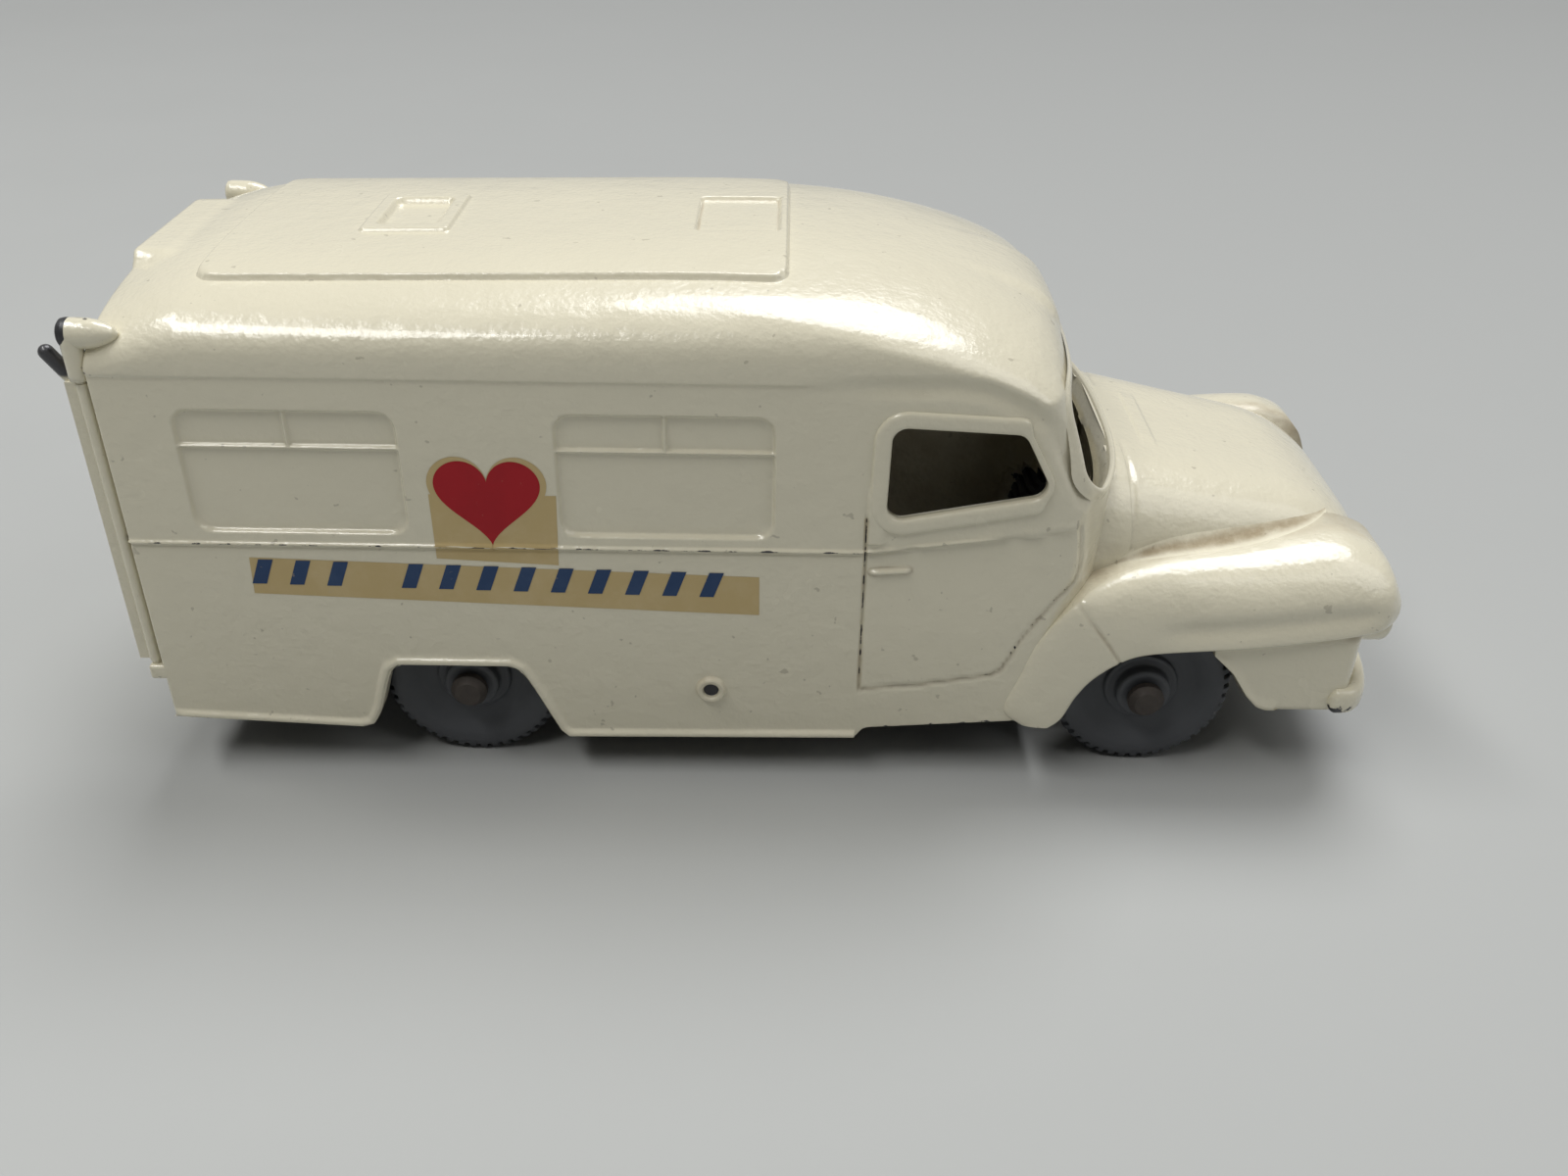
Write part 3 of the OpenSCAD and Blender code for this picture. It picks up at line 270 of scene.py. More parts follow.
def enamel(name, colour, chip_colour, chip_bias=0.0, bare_above=None, dull=0.0):
    """Gloss enamel with orange-peel, dust, grime, painted shade and chips: a chip shows where noise plus
    wear passes a limit, brown dirt and painted shade where noise times the grime field does, and both
    make the surface rougher."""
    material, tree, shader, make = new_material(name)
    coords = make("ShaderNodeTexCoord").outputs["Object"]
    wear = make("ShaderNodeAttribute", attribute_name="wear").outputs["Fac"]
    grime = make("ShaderNodeAttribute", attribute_name="grime").outputs["Fac"]
    chips = combine(make, noise(make, coords, 900.0, 4.0, 0.6), combine(make, wear, 0.55), "ADD")
    chip = ramp(make, chips, chip_from - chip_bias, chip_to - chip_bias)
    if bare_above:
        height_z = make("ShaderNodeSeparateXYZ", {0: coords}).outputs[2]
        chip = combine(make, chip, ramp(make, height_z, bare_above, bare_above + bare_fade), "MAXIMUM")
    specks = ramp(make, noise(make, coords, 1500.0, 2.0), 0.715, 0.75)
    # Brown where noise times the field is high: real grime in creases, painted shade at sunk outlines and
    # inside faces.
    dirt_and_shade = ramp(make, combine(make, grime, noise(make, coords, 420.0, 5.0, 0.65)), 0.12, 0.6)
    darker, lighter = [c * 0.955 for c in colour], [min(c * 1.03, 1) for c in colour]
    tone = mix(make, noise(make, coords, 70.0), [*darker, 1], [*lighter, 1])
    tone = mix(make, combine(make, specks, 0.35), tone, speck_colour)
    tone = mix(make, combine(make, dirt_and_shade, 0.75), tone, dirt_and_shade_colour)
    tree.links.new(mix(make, chip, tone, chip_colour), shader.inputs["Base Color"])
    rough = combine(make, spread(make, noise(make, coords, 260.0), 0.17, 0.3), dull, "ADD")
    rough = combine(make, rough, combine(make, dirt_and_shade, 0.5), "ADD")
    tree.links.new(combine(make, rough, combine(make, chip, 0.2), "ADD"), shader.inputs["Roughness"])
    tree.links.new(combine(make, chip, 0.8), shader.inputs["Metallic"])
    full_coat = 0.5 - dull
    coat = combine(make, full_coat, combine(make, dirt_and_shade, full_coat), "SUBTRACT")
    tree.links.new(coat, shader.inputs["Coat Weight"])
    shader.inputs["Coat Roughness"].default_value = 0.08
    peel, fine = noise(make, coords, 800.0, 2.0), noise(make, coords, 3400.0, 2.0)
    height = combine(make, combine(make, peel, 0.5), combine(make, fine, 0.2), "ADD")
    height = combine(make, height, combine(make, chip, 0.4), "SUBTRACT")
    bump = make("ShaderNodeBump", {"Strength": 0.5, "Distance": 0.0003, "Height": height})
    tree.links.new(bump.outputs[0], shader.inputs["Normal"])
    return material


cream = enamel("cream_enamel", cream_colour, bare_metal)
door_cream = enamel("door_enamel", cream_colour, bare_metal, chip_bias=0.1, bare_above=0.0228)
# Darker cream for inside faces, window returns and linings: partly thin overspray, partly painted shade
# where little light gets in.
overspray_and_shade_cream = enamel("overspray_and_shade_enamel", (0.55, 0.51, 0.38), (0.08, 0.08, 0.085, 1), chip_bias=-0.1)
dull_cream = enamel("dull_enamel", cream_colour, bare_metal, dull=0.42)
black = enamel("black_enamel", (0.018, 0.018, 0.02), (0.25, 0.25, 0.26, 1))
print("enamels:", [m.name for m in (cream, door_cream, overspray_and_shade_cream, dull_cream, black)])


# %% Plastic, steel and bare zinc
def plain_finish(name, dark, light, rough, metal=0.0, scale=300.0):
    """Two tones of one colour by noise, with matching roughness and fine bumps."""
    material, tree, shader, make = new_material(name)
    coords = make("ShaderNodeTexCoord").outputs["Object"]
    grain = noise(make, coords, scale, 4.0, 0.6)
    tree.links.new(mix(make, grain, (*dark, 1), (*light, 1)), shader.inputs["Base Color"])
    tree.links.new(spread(make, grain, rough - 0.1, rough + 0.1), shader.inputs["Roughness"])
    shader.inputs["Metallic"].default_value = metal
    bump = make("ShaderNodeBump", {"Strength": 0.25, "Distance": 0.0001, "Height": grain})
    tree.links.new(bump.outputs[0], shader.inputs["Normal"])
    return material


plastic = plain_finish("grey_plastic", (0.045, 0.048, 0.054), (0.085, 0.09, 0.10), 0.55, scale=420.0)
steel = plain_finish("dull_steel", (0.018, 0.015, 0.013), (0.085, 0.07, 0.06), 0.6, 0.35, 1500.0)
zinc = plain_finish("bare_zinc", (0.022, 0.023, 0.026), (0.07, 0.07, 0.075), 0.42, 0.6, 1200.0)
print("plain finishes:", [m.name for m in (plastic, steel, zinc)])

# %% [markdown]
# ## Sides of the coachwork
# Seen in plan, each side runs straight from the rear edge to a corner and rounds into the front by
# a superellipse. Rows of the grid go up from the lower edge, which follows the wheel arch. The
# window panels, glazing bars, belt bead and door lines are a relief: a distance to each outline,
# eased into a depth. Cutting them with solids is possible too, but eased edges look cast.


# %% Plan of the coachwork
lean_ease = 16
cowl_corner, brow_corner = 5.2, 2.4


def rounded(share, power=plan_power):
    """Height of a superellipse over a share of its base: one less the share's power, then the root."""
    return (1 - share**power) ** (1 / power)


def round_off(angle, power=plan_power):
    """Run and width of a superellipse at an angle: sine and cosine, each to two over the power."""
    return np.sin(angle) ** (2 / power), np.abs(np.cos(angle)) ** (2 / power)


def plan_lean(z):
    """0 at the cowl, 1 at the header, with both ends of the slope eased by a soft clip."""
    share = (z - cowl_h) / (header_h - cowl_h)
    return (np.logaddexp(0, lean_ease * share) - np.logaddexp(0, lean_ease * (share - 1))) / lean_ease


def plan_front(z):
    """Front of the plan at a height: at the cowl's place below, at the brow's above."""
    return cowl_x + (brow_x - cowl_x) * plan_lean(z)


def plan_corner(z):
    """Length of the round corner at a height: long at the cowl, short at the brow."""
    return cowl_corner + (brow_corner - cowl_corner) * plan_lean(z)


def side_y(x, z):
    """Half width of the side at a place: full width, then a superellipse to the front."""
    return half_w * rounded(np.clip((x - plan_front(z) + plan_corner(z)) / plan_corner(z), 0, 1))


def front_of(y, z):
    """Front of the cab at a place across it: the same superellipse read the other way."""
    return plan_front(z) - plan_corner(z) * (1 - rounded(np.clip(np.abs(y) / half_w, 0, 1)))


# %% Lower edge of the side
skirt = np.array([
    (rear_x, 3.3), (-21.6, 2.78), (-20.9, 3.0), (-20.35, 4.1), (-19.95, 5.6), (-19.6, 6.6), (-19.1, 6.95),
    (-13.1, 6.95), (-12.55, 6.65), (-12.1, 5.8), (-10.75, 2.75), (-10.3, 2.3),
    (5.45, 2.5), (5.8, 3.2), (16.0, 3.97), (30.0, 4.2),
])
skirt_step, skirt_ease, plain_steps = 0.02, 0.16, 60
fine_x = np.arange(rear_x - 2, 30, skirt_step)
blur = np.exp(-0.5 * (np.arange(-30, 31) * skirt_step / skirt_ease) ** 2)
skirt_fine = np.convolve(np.interp(fine_x, *skirt.T), blur / blur.sum(), mode="same")
skirt_fine[:plain_steps] = np.interp(fine_x[:plain_steps], *skirt.T)
print("lower edge from", skirt_fine.min().round(2), "to", skirt_fine.max().round(2))


def low_edge(x):
    """Height of the lower edge of the side, with eased corners."""
    return np.interp(x, fine_x, skirt_fine)


# %% Distances
def box_distance(x, z, x0, x1, z0, z1, r):
    """Distance outside a rectangle with round corners, negative inside."""
    u = np.abs(x - (x0 + x1) / 2) - (x1 - x0) / 2 + r
    v = np.abs(z - (z0 + z1) / 2) - (z1 - z0) / 2 + r
    return np.hypot(np.maximum(u, 0), np.maximum(v, 0)) + np.minimum(np.maximum(u, v), 0) - r


def path_distance(x, z, points):
    """Distance to a chain of straight stretches."""
    best = np.full(np.broadcast(x, z).shape, 99.0)
    for (x0, z0), (x1, z1) in zip(points[:-1], points[1:]):
        length = np.hypot(x1 - x0, z1 - z0)
        along = np.clip(((x - x0) * (x1 - x0) + (z - z0) * (z1 - z0)) / length**2, 0, 1)
        best = np.minimum(best, np.hypot(x - x0 - along * (x1 - x0), z - z0 - along * (z1 - z0)))
    return best


# %% Places and depths of the relief
window_x = [(rear_x + 3.65, rear_x + 14.35), (rear_x + 22.05, rear_x + 32.75)]
window_z = (15.0, 21.66)
bar_z = 19.7
panel_depth, panel_r, bar_w = 0.3, 0.9, 0.17
door_x = rear_x + 37.4
belt_run, belt_rise, belt_out = 10.9, 1.5, 0.15
belt_front = (door_x + belt_run, belt_h + belt_rise)
door_gap = [
    (door_x, 16.2), (door_x, 5.75), (8.8, 6.12), (12.5, 6.8), (13.0, 7.1), (13.36, 7.8), (13.96, 9.13),
    (14.75, 10.44), (15.7, 11.6), (16.5, 12.3),
]
hinge_path = [belt_front, (16.75, 13.2), (16.55, 12.4)]
handle_path = [(door_x + 0.42, 13.1), (door_x + 2.2, 13.24)]
door_depth, gap_depth, hinge_depth, line_w = 0.12, 0.16, 0.12, 0.13
post_out, handle_out, lip_out = 0.17, 0.22, 0.2
arch_end_x = 5.4
print("windows from", np.round(window_x, 2).tolist(), "cab door from", door_x.round(2))


# %% Relief of a side
def ridge(distance, width):
    """1 on a line, easing to 0 at width from it."""
    return 1 - ease(distance / width)


def window_relief(x, z):
    """Depth of the window panels and wear of their edges: a panel is sunk inside its rectangle, and a
    level bar and an upright one stand up in it."""
    sunk, edge = np.zeros(x.shape), np.zeros(x.shape)
    for x0, x1 in window_x:
        d = box_distance(x, z, x0, x1, *window_z, panel_r)
        upright = ridge(np.hypot(x - (x0 + x1) / 2, np.minimum(z - bar_z, 0)), bar_w) * (z < window_z[1])
        bar = np.maximum(ridge(np.abs(z - bar_z), bar_w), upright)
        sunk = sunk + panel_depth * (1 - ease((d + 0.12) / 0.22)) * (1 - 0.75 * bar)
        edge = np.maximum(edge, 0.5 * ridge(np.abs(d), 0.1) + 0.9 * bar * (d < -0.1))
    return sunk, edge


def side_relief(x, z):
    """How far the side stands out, with what is worn and what is grimy there: the eased distance to each
    cast line times its depth, added up."""
    sunk, edge = window_relief(x, z)
    out = drip * ease((z - 23.28) / 0.2) * (1 - ease((x - 5) / 7)) - sunk
    belt = np.where(x < door_x, np.abs(z - belt_h), path_distance(x, z, [(door_x, belt_h), belt_front]))
    out = out + belt_out * ridge(belt, 0.17) - 0.05 * ridge(np.abs(belt - 0.22) + 9 * (z > belt_h), 0.16)
    below = belt_h + belt_rise * (x - door_x) / belt_run - z
    door = ease(below / 0.14) * (1 - ease((below - 1) / 5)) * (x > door_x) * (1 - ease((x - 15.5) / 0.9))
    gap, hinge = path_distance(x, z, door_gap), path_distance(x, z, hinge_path)
    out = out - door_depth * door - gap_depth * ridge(gap, line_w) - hinge_depth * ridge(hinge, line_w)
    post = (1 - ease((np.abs(x - door_x - 0.5) - 0.4) / 0.1)) * ease((z - 14.7) / 0.2)
    handle = path_distance(x, z, handle_path)
    out = out + post_out * post * (1 - ease((z - 17.5) / 0.5)) + handle_out * ridge(handle - 0.05, 0.16)
    lip = path_distance(x, z, skirt[:13])
    lip_band = (1 - ease((lip - 0.28) / 0.28)) * ease((lip + 0.04) / 0.2)
    out = out + lip_out * lip_band * (x < arch_end_x) * ease((x - rear_x) / 0.6)
    worn = np.maximum.reduce([
        0.55 * edge,
        0.78 * ridge(belt, 0.16) * (x < door_x + 1),
        0.95 * ridge(gap, 0.12) * (z > 6.6),
        0.62 * ridge(np.abs(handle - 0.2), 0.1),
        0.74 * ridge(z - low_edge(x), 0.3),
        0.4 * ridge(np.abs(z - gutter_h), 0.15),
        0.6 * ridge(x - rear_x, 0.2),
        0.7 * ridge(hinge, 0.12)])
    dirty = np.maximum.reduce([
        0.7 * ridge(gap, 0.35),
        0.6 * ridge(hinge, 0.35),
        0.8 * ridge(np.abs(handle - 0.24), 0.16),
        0.5 * ridge(np.abs(below - 0.12), 0.2) * (x > door_x) * (x < 16.4),
        0.45 * ridge(np.abs(belt - 0.2), 0.3) * (z < belt_h),
        0.35 * ridge(np.abs(z - 23.25), 0.3) * (x < 9),
        0.25 * ridge(lip, 1.0)])
    return out, worn, dirty


# %% Grid of a side
straight_end, split_h = 13.0, 12.6
marks_x = [v for pair in window_x for v in pair] + [sum(p) / 2 for p in window_x] + [door_x]
arch_x = [np.arange(-21.6, -19.0, 0.07), np.arange(-13.2, -10.2, 0.07)]
straight_x = lines(rear_x, straight_end, 0.24, marks_x, 0.055, 0.3)
straight_x = np.unique(np.concatenate([straight_x, rear_x + np.linspace(0, 0.2, 8), *arch_x]).round(3))
upper_z = lines(split_h, gutter_h, 0.24, [belt_h, *window_z, bar_z, 13.17, 23.4], 0.05, 0.26)
lower_share = np.concatenate([np.linspace(0, 0.09, 14, endpoint=False), np.linspace(0.09, 1, 47)])[:-1]
turn_run, turn_side = round_off(np.radians(np.linspace(0, 90, 60)))


def side_columns(z):
    """Places along one row: straight lines, a few that close up to the corner, then the corner."""
    corner = plan_front(z) - plan_corner(z) + plan_corner(z) * turn_run
    return np.concatenate([straight_x, np.linspace(straight_end, corner[0], 8)[1:-1], corner])


X_up = np.array([side_columns(z) for z in upper_z])
Z_up = np.repeat(upper_z[:, None], X_up.shape[1], 1)
X_low = np.repeat(X_up[:1], len(lower_share), 0)
Z_low = low_edge(X_low) + lower_share[:, None] * (split_h - low_edge(X_low))
X = np.vstack([X_low, X_up])
Z = np.vstack([Z_low, Z_up])
relief, worn, dirty = side_relief(X, Z)
flat = np.stack([X, -side_y(X, Z), Z], -1)
side_normal = grid_normals(flat)
side_normal *= np.sign(-side_normal[..., 1:2] + 1e-9)
side_points = flat + relief[..., None] * side_normal
print("side grid", side_points.shape, "relief from", relief.min().round(3), "to", relief.max().round(3))

# %% [markdown]
# ## Front fenders
# A fender is a skin between two curves, its crown and its lower edge. Each row of the table gives a
# place on both, as shares of its length, height and half width, and a smooth curve runs through the
# rows. Across, a quarter of a superellipse rounds it. A box with bevels would lose the sweep.

# %% Curves of a fender
fender_l, fender_h, fender_half = 20.6, 13.9, 12.75
fender_back = front_x - 0.3 - fender_l
fender_table = np.array([
    [0.039, 0.270, 0.126, 0.266, 0.949, 1.000, 0.886],
    [0.000, 0.331, 0.155, 0.309, 0.949, 1.000, 0.886],
    [0.031, 0.483, 0.184, 0.410, 0.949, 1.000, 0.886],
    [0.075, 0.658, 0.223, 0.496, 0.949, 1.000, 0.886],
    [0.158, 0.814, 0.282, 0.568, 0.940, 1.000, 0.840],
    [0.238, 0.878, 0.335, 0.604, 0.860, 1.000, 0.720],
    [0.379, 0.928, 0.422, 0.622, 0.790, 1.000, 0.600],
    [0.607, 0.957, 0.607, 0.644, 0.710, 1.000, 0.550],
    [0.820, 0.993, 0.811, 0.683, 0.640, 0.990, 0.500],
    [0.905, 0.976, 0.888, 0.698, 0.650, 0.978, 0.500],
    [0.966, 0.925, 0.942, 0.709, 0.680, 0.955, 0.500],
    [1.000, 0.825, 0.976, 0.716, 0.740, 0.910, 0.500],
])


def smooth_rows(table, steps):
    """Catmull-Rom curve through the rows of a table, with steps places between rows."""
    a = np.vstack([table[:1], table[:-2]])[:, None]
    b, c = table[:-1][:, None], table[1:][:, None]
    d = np.vstack([table[2:], table[-1:]])[:, None]
    u = (np.arange(steps) / steps)[None, :, None]
    rows = b + (c - a) * u / 2 + (2 * a - 5 * b + 4 * c - d) * u**2 / 2 + (3 * b - a - 3 * c + d) * u**3 / 2
    return np.vstack([rows.reshape(-1, table.shape[1]), table[-1:]])


rows = smooth_rows(fender_table, 14)
crown = np.stack([fender_back + rows[:, 0] * fender_l, rows[:, 1] * fender_h], -1)
edge = np.stack([fender_back + rows[:, 2] * fender_l, rows[:, 3] * fender_h], -1)
y_in, y_out, y_core = (np.minimum(rows[:, k], 1) * fender_half for k in (4, 5, 6))
upward = (crown - edge) / np.linalg.norm(crown - edge, axis=1, keepdims=True)
print("fender rows", len(rows), "from x", crown[:, 0].min().round(2), "to", crown[:, 0].max().round(2))

# %% Grid of a fender
lip_r, return_w = 0.28, 1.3
hollow_depth, hollow_share, hollow_w = 0.32, 0.24, 0.13
start = edge + lip_r * upward
rise_share, out_share = round_off(np.radians(np.linspace(0, 90, 34)))
skin_xz = start[:, None] + (crown - start)[:, None] * rise_share[None, :, None]
skin_y = y_in[:, None] + (y_out - y_in)[:, None] * out_share
hollow = hollow_depth * ease((crown[:, :1] - 19.3) / 3.5) * (1 - ease((crown[:, :1] - 31.5) / 2))
skin_y = skin_y - hollow * np.exp(-(((rise_share - hollow_share) / hollow_w) ** 2))
bend = np.radians(np.linspace(90, 0, 7))[:-1]
lip_xz = edge[:, None] + upward[:, None] * (lip_r * (1 - np.sin(bend)))[None, :, None]
lip_y = y_out[:, None] - lip_r * (1 - np.cos(bend))
F_xz = np.concatenate([edge[:, None], lip_xz, skin_xz, crown[:, None], edge[:, None]], 1)
F_y = np.concatenate([y_out[:, None] - return_w, lip_y, skin_y, y_core[:, None], y_core[:, None]], 1)
fender_points = np.stack([F_xz[..., 0], -F_y, F_xz[..., 1]], -1)
print("fender grid", fender_points.shape)

# %% Seam, wear and grime of a fender
flank_y, seam_depth = 12.0, 0.1
seam = path_distance(F_xz[..., 0], F_xz[..., 1], [(16.75, 11.3), (18.3, 9.4), (19.45, 7.7)])
fender_points[..., 1] += seam_depth * ridge(seam, 0.14) * (F_y > flank_y)
from_axle = np.hypot(fender_points[..., 0] - front_axle_x, fender_points[..., 2] - axle_h)
near_wheel = from_axle < tyre_r + 0.5
fender_points[near_wheel, 1] = np.minimum(fender_points[near_wheel, 1], -tyre_out_y - 0.25)
crease = np.concatenate([np.zeros(F_y.shape[1] - 9), np.linspace(0, 1, 8) ** 2, [1]])[None]
fender_wear = np.zeros_like(F_y)
fender_wear[:, :9] = 0.42
fender_wear = np.maximum(fender_wear, 0.6 * crease * (crown[:, :1] < 16.8))
fender_grime = np.maximum(0.75 * crease, 0.6 * ridge(seam, 0.3) * (F_y > flank_y))
fender_grime[:, :4] = 0.4
fender_keep = wheel_room(fender_points)
fenders = [patch(fender_points, fender_keep, wear=fender_wear, grime=fender_grime),
           patch(mirrored(fender_points), fender_keep, flip=True, wear=fender_wear, grime=fender_grime)]
tip = np.repeat(fender_points[-1:], 6, 0)
tip[..., 1] += np.linspace(0, 1, 6)[:, None] * (-y_core[-1] - tip[..., 1])
fenders += [patch(tip), patch(mirrored(tip), flip=True)]
piece("fenders", fenders, cream)

# %% [markdown]
# ## Sides with their openings
# Faces inside the cab windows and the windscreen are left out, and so are those that the fenders
# take the place of. Raised rims cover the edges of the openings afterwards.

# %% Outlines of the openings
def rounded_path(corners, r, count=260):
    """Closed outline with round corners, evenly spaced, with its outward normals."""
    back, ahead = np.roll(corners, 1, 0), np.roll(corners, -1, 0)
    parts = []
    for c, b, a in zip(corners, back, ahead):
        to_b, to_a = (b - c) / np.linalg.norm(b - c), (a - c) / np.linalg.norm(a - c)
        half = np.arccos(np.clip(to_b @ to_a, -1, 1)) / 2
        centre = c + (to_b + to_a) / np.linalg.norm(to_b + to_a) * r / np.sin(half)
        first, last = c + to_b * r / np.tan(half), c + to_a * r / np.tan(half)
        a0, a1 = np.arctan2(*(first - centre)[::-1]), np.arctan2(*(last - centre)[::-1])
        sweep = a0 + (np.mod(a1 - a0 + np.pi, 2 * np.pi) - np.pi) * np.linspace(0, 1, 16)
        parts.append(centre + r * np.stack([np.cos(sweep), np.sin(sweep)], -1))
    path = np.vstack(parts + [parts[0][:1]])
    far = np.concatenate([[0], np.cumsum(np.linalg.norm(np.diff(path, axis=0), axis=1))])
    even = np.linspace(0, far[-1], count, endpoint=False)
    path = np.stack([np.interp(even, far, path[:, k]) for k in (0, 1)], -1)
    run = np.roll(path, -1, 0) - np.roll(path, 1, 0)
    run /= np.linalg.norm(run, axis=1, keepdims=True)
    return path, np.stack([run[:, 1], -run[:, 0]], -1)


def inside_path(u, v, path):
    """Whether places lie inside a closed outline: odd count of its sides crossed on the way out."""
    odd = np.zeros(u.shape, bool)
    for (u0, v0), (u1, v1) in zip(path, np.roll(path, -1, 0)):
        crossed = (v0 > v) != (v1 > v)
        odd ^= crossed & (u < u0 + (v - v0) * (u1 - u0) / (v1 - v0 + 1e-12))
    return odd


# %% Cab windows and windscreen
cab_x = rear_x + 38.35
cab_window = np.array([(cab_x, 16.1), (cab_x + 8.25, 17.71), (cab_x + 6.52, 20.99), (cab_x + 0.12, 21.3)])
screen = np.array([(-11.35, 17.0), (11.35, 17.0), (10.5, 22.35), (-10.5, 22.35)])
cab_path, cab_normal = rounded_path(cab_window, 0.75)
screen_path, screen_normal = rounded_path(screen, 1.5)
fender_from_x, screen_from_x = 14.6, 14.2
middle_curve = (crown + edge) / 2
middle_curve = middle_curve[np.argsort(middle_curve[:, 0])]


def side_keep(grid, cab_grow=0.25, screen_grow=0.25):
    """Faces of a side grid that lie outside the openings, grown a little, and above the fender."""
    x, y, z = middle(grid[..., 0]), np.abs(middle(grid[..., 1])), middle(grid[..., 2])
    under = (x > fender_from_x) & (z < np.interp(x, *middle_curve.T))
    opening = inside_path(x, z, cab_path + cab_grow * cab_normal)
    opening |= inside_path(y, z, screen_path + screen_grow * screen_normal) & (x > screen_from_x)
    return ~(under | opening)


keep = side_keep(flat)
print("faces left out of a side:", (~keep).sum())

# %% [markdown]
# ## Roof
# The roof is a stack of rings: each narrower and shorter than the one below by superellipse laws,
# falling a little to the rear. The brow over the windscreen and the lip over the rear doors are
# pushed out of the same grid.


# %% Laws of the roof
rear_round_l, rear_fall, long_fall = 4.4, 0.66, 0.65
rear_power, crown_power, ring_power, front_power = 2, 3.1, 3.1, 1.8
crown_corner = 14.0


def rear_part(x):
    """0 at the rear edge, 1 where its rounding ends."""
    return np.clip((x - rear_x) / rear_round_l, 0, 1)


def drop_share(x):
    """Share of the rise that is left after the fall at the rear edge and the fall along the coach."""
    fall = rear_fall * (1 - rear_part(x)) ** 2 + long_fall * np.clip((crown_x - x) / crown_l, 0, 1)
    return 1 - fall / rise


def roof_level(v, x):
    """Height of the roof where its ring has the share v of the full half width: a superellipse."""
    power = rear_power + (crown_power - rear_power) * rear_part(x)
    return gutter_h + rise * drop_share(x) * rounded(np.clip(v, 0, 1), power)


def roof_ring(up):
    """Share of half width, front and corner length of the ring at a share of the rise."""
    front = crown_x + (brow_x + drip - crown_x) * rounded(up, front_power)
    return rounded(up, ring_power), front, brow_corner + (crown_corner - brow_corner) * up**0.6


# %% Grid of the roof
rear_lip_h, brow_out, brow_up = 26.95, 0.42, 0.1
v, ring_front, ring_corner = roof_ring(np.sin(np.radians(np.linspace(0, 90, 76)))[:, None])
begin = ring_front - ring_corner
top_row, corner_at = X_up[-1], -len(turn_run)
along = (top_row[:corner_at] - rear_x)[None] / (top_row[corner_at] - rear_x)
roof_x = np.concatenate([rear_x + along * (begin - rear_x), begin + ring_corner * turn_run], 1)
closing = np.concatenate([np.ones_like(along[0]), turn_side])[None]
roof_y = (half_w + drip - drip * ease((roof_x - 5) / 7)) * v * closing
roof_z = roof_level(v, roof_x)
rear_lip = (1 - ease((roof_x - rear_x - 1.5) / 1.3)) * (1 - ease((roof_y - 4.3) / 0.9))
roof_z = roof_z + np.maximum(rear_lip_h - roof_z, 0) * rear_lip
brow_half = 2.3 + 0.22 * np.clip(roof_x - brow_x + 4.6, 0, 9)
brow = ease((roof_x - brow_x + 5.2) / 3.2) * (1 - ease((roof_y - brow_half) / 0.9))
brow = brow * ease((roof_z - gutter_h) / 0.5)
roof_points = np.stack([roof_x + brow_out * brow, -roof_y, roof_z + brow_up * brow], -1)
roof_wear = 0.4 * ridge(roof_z - gutter_h, 0.2) + 0.35 * ridge(roof_x - rear_x, 0.25)
roof_grime = 0.3 * ridge(roof_z - gutter_h, 0.4) * (roof_x < brow_x)
print("roof grid", roof_points.shape, "top", roof_z.max().round(2))

# %% Sides and roof as one grid
gutter = [(2.0, 23.3), (9.4, 23.35), (11.1, 23.15), (13.2, 22.2), (14.35, 21.2), (15.6, 19.1), (16.45, 17.3)]
gutter_depth, gutter_w, rear_edge_r, smooth_count = 0.24, 0.75, 0.2, 240
coach = np.vstack([side_points, roof_points[1:]])
blend = ease((coach[..., 2:] - 22.6) / 0.8) * (1 - ease((coach[..., 2:] - 25.6) / 1.6))
blend = blend * ease((coach[..., :1] - 2) / 8)
for _ in range(smooth_count):
    even = (np.roll(coach, 1, 0) + 2 * coach + np.roll(coach, -1, 0)) / 4
    coach = coach + blend * (even - coach)
inward = grid_normals(coach)
inward *= np.sign(inward[..., 1:2] + 1e-9)
valley = ridge(path_distance(coach[..., 0], coach[..., 2], gutter), gutter_w)
valley = valley * (coach[..., 1] < -8) * ease((coach[..., 0] - 2) / 6)
coach = coach + gutter_depth * valley[..., None] * inward
near = np.clip(1 - (coach[..., :1] - rear_x) / rear_edge_r, 0, 1)
coach = coach + rear_edge_r * (1 - np.sqrt(1 - near**2)) * np.where(near > 0, inward, 0)
coach[-1, :, 1] = 0
print("coach grid", coach.shape)

# %% Right and left half of the coach
coach_keep = np.vstack([keep, np.ones((len(roof_points) - 1, keep.shape[1]), bool)])
coach_wear = np.vstack([worn, roof_wear[1:]])
coach_grime = np.maximum(np.vstack([dirty, roof_grime[1:]]), 0.3 * valley)
foot_end_x = 16.3
foot = np.repeat(side_points[:1], 3, 0)
foot[1:, :, 1] += np.array([0.25, 1.15])[:, None]
foot[1:, :, 2] -= 0.05
foot_keep = np.repeat(keep[:1], 2, 0) & (middle(foot[..., 0]) < foot_end_x)
piece("coach_right", [patch(coach, coach_keep, flip=True, wear=coach_wear, grime=coach_grime),
                      patch(foot, foot_keep, wear=0.6, grime=0.5)], cream)
piece("coach_left", [patch(mirrored(coach), coach_keep, wear=coach_wear, grime=coach_grime),
                     patch(mirrored(foot), foot_keep, flip=True, wear=0.6, grime=0.5)], cream)

# %% [markdown]
# ## Panel and hatches on the roof
# A flat panel stands up from the roof, with a framed hatch near its rear and a sunk one near its
# front. It is a height field on the roof: the roof's height is found by halving the interval of the
# ring that passes over each place.


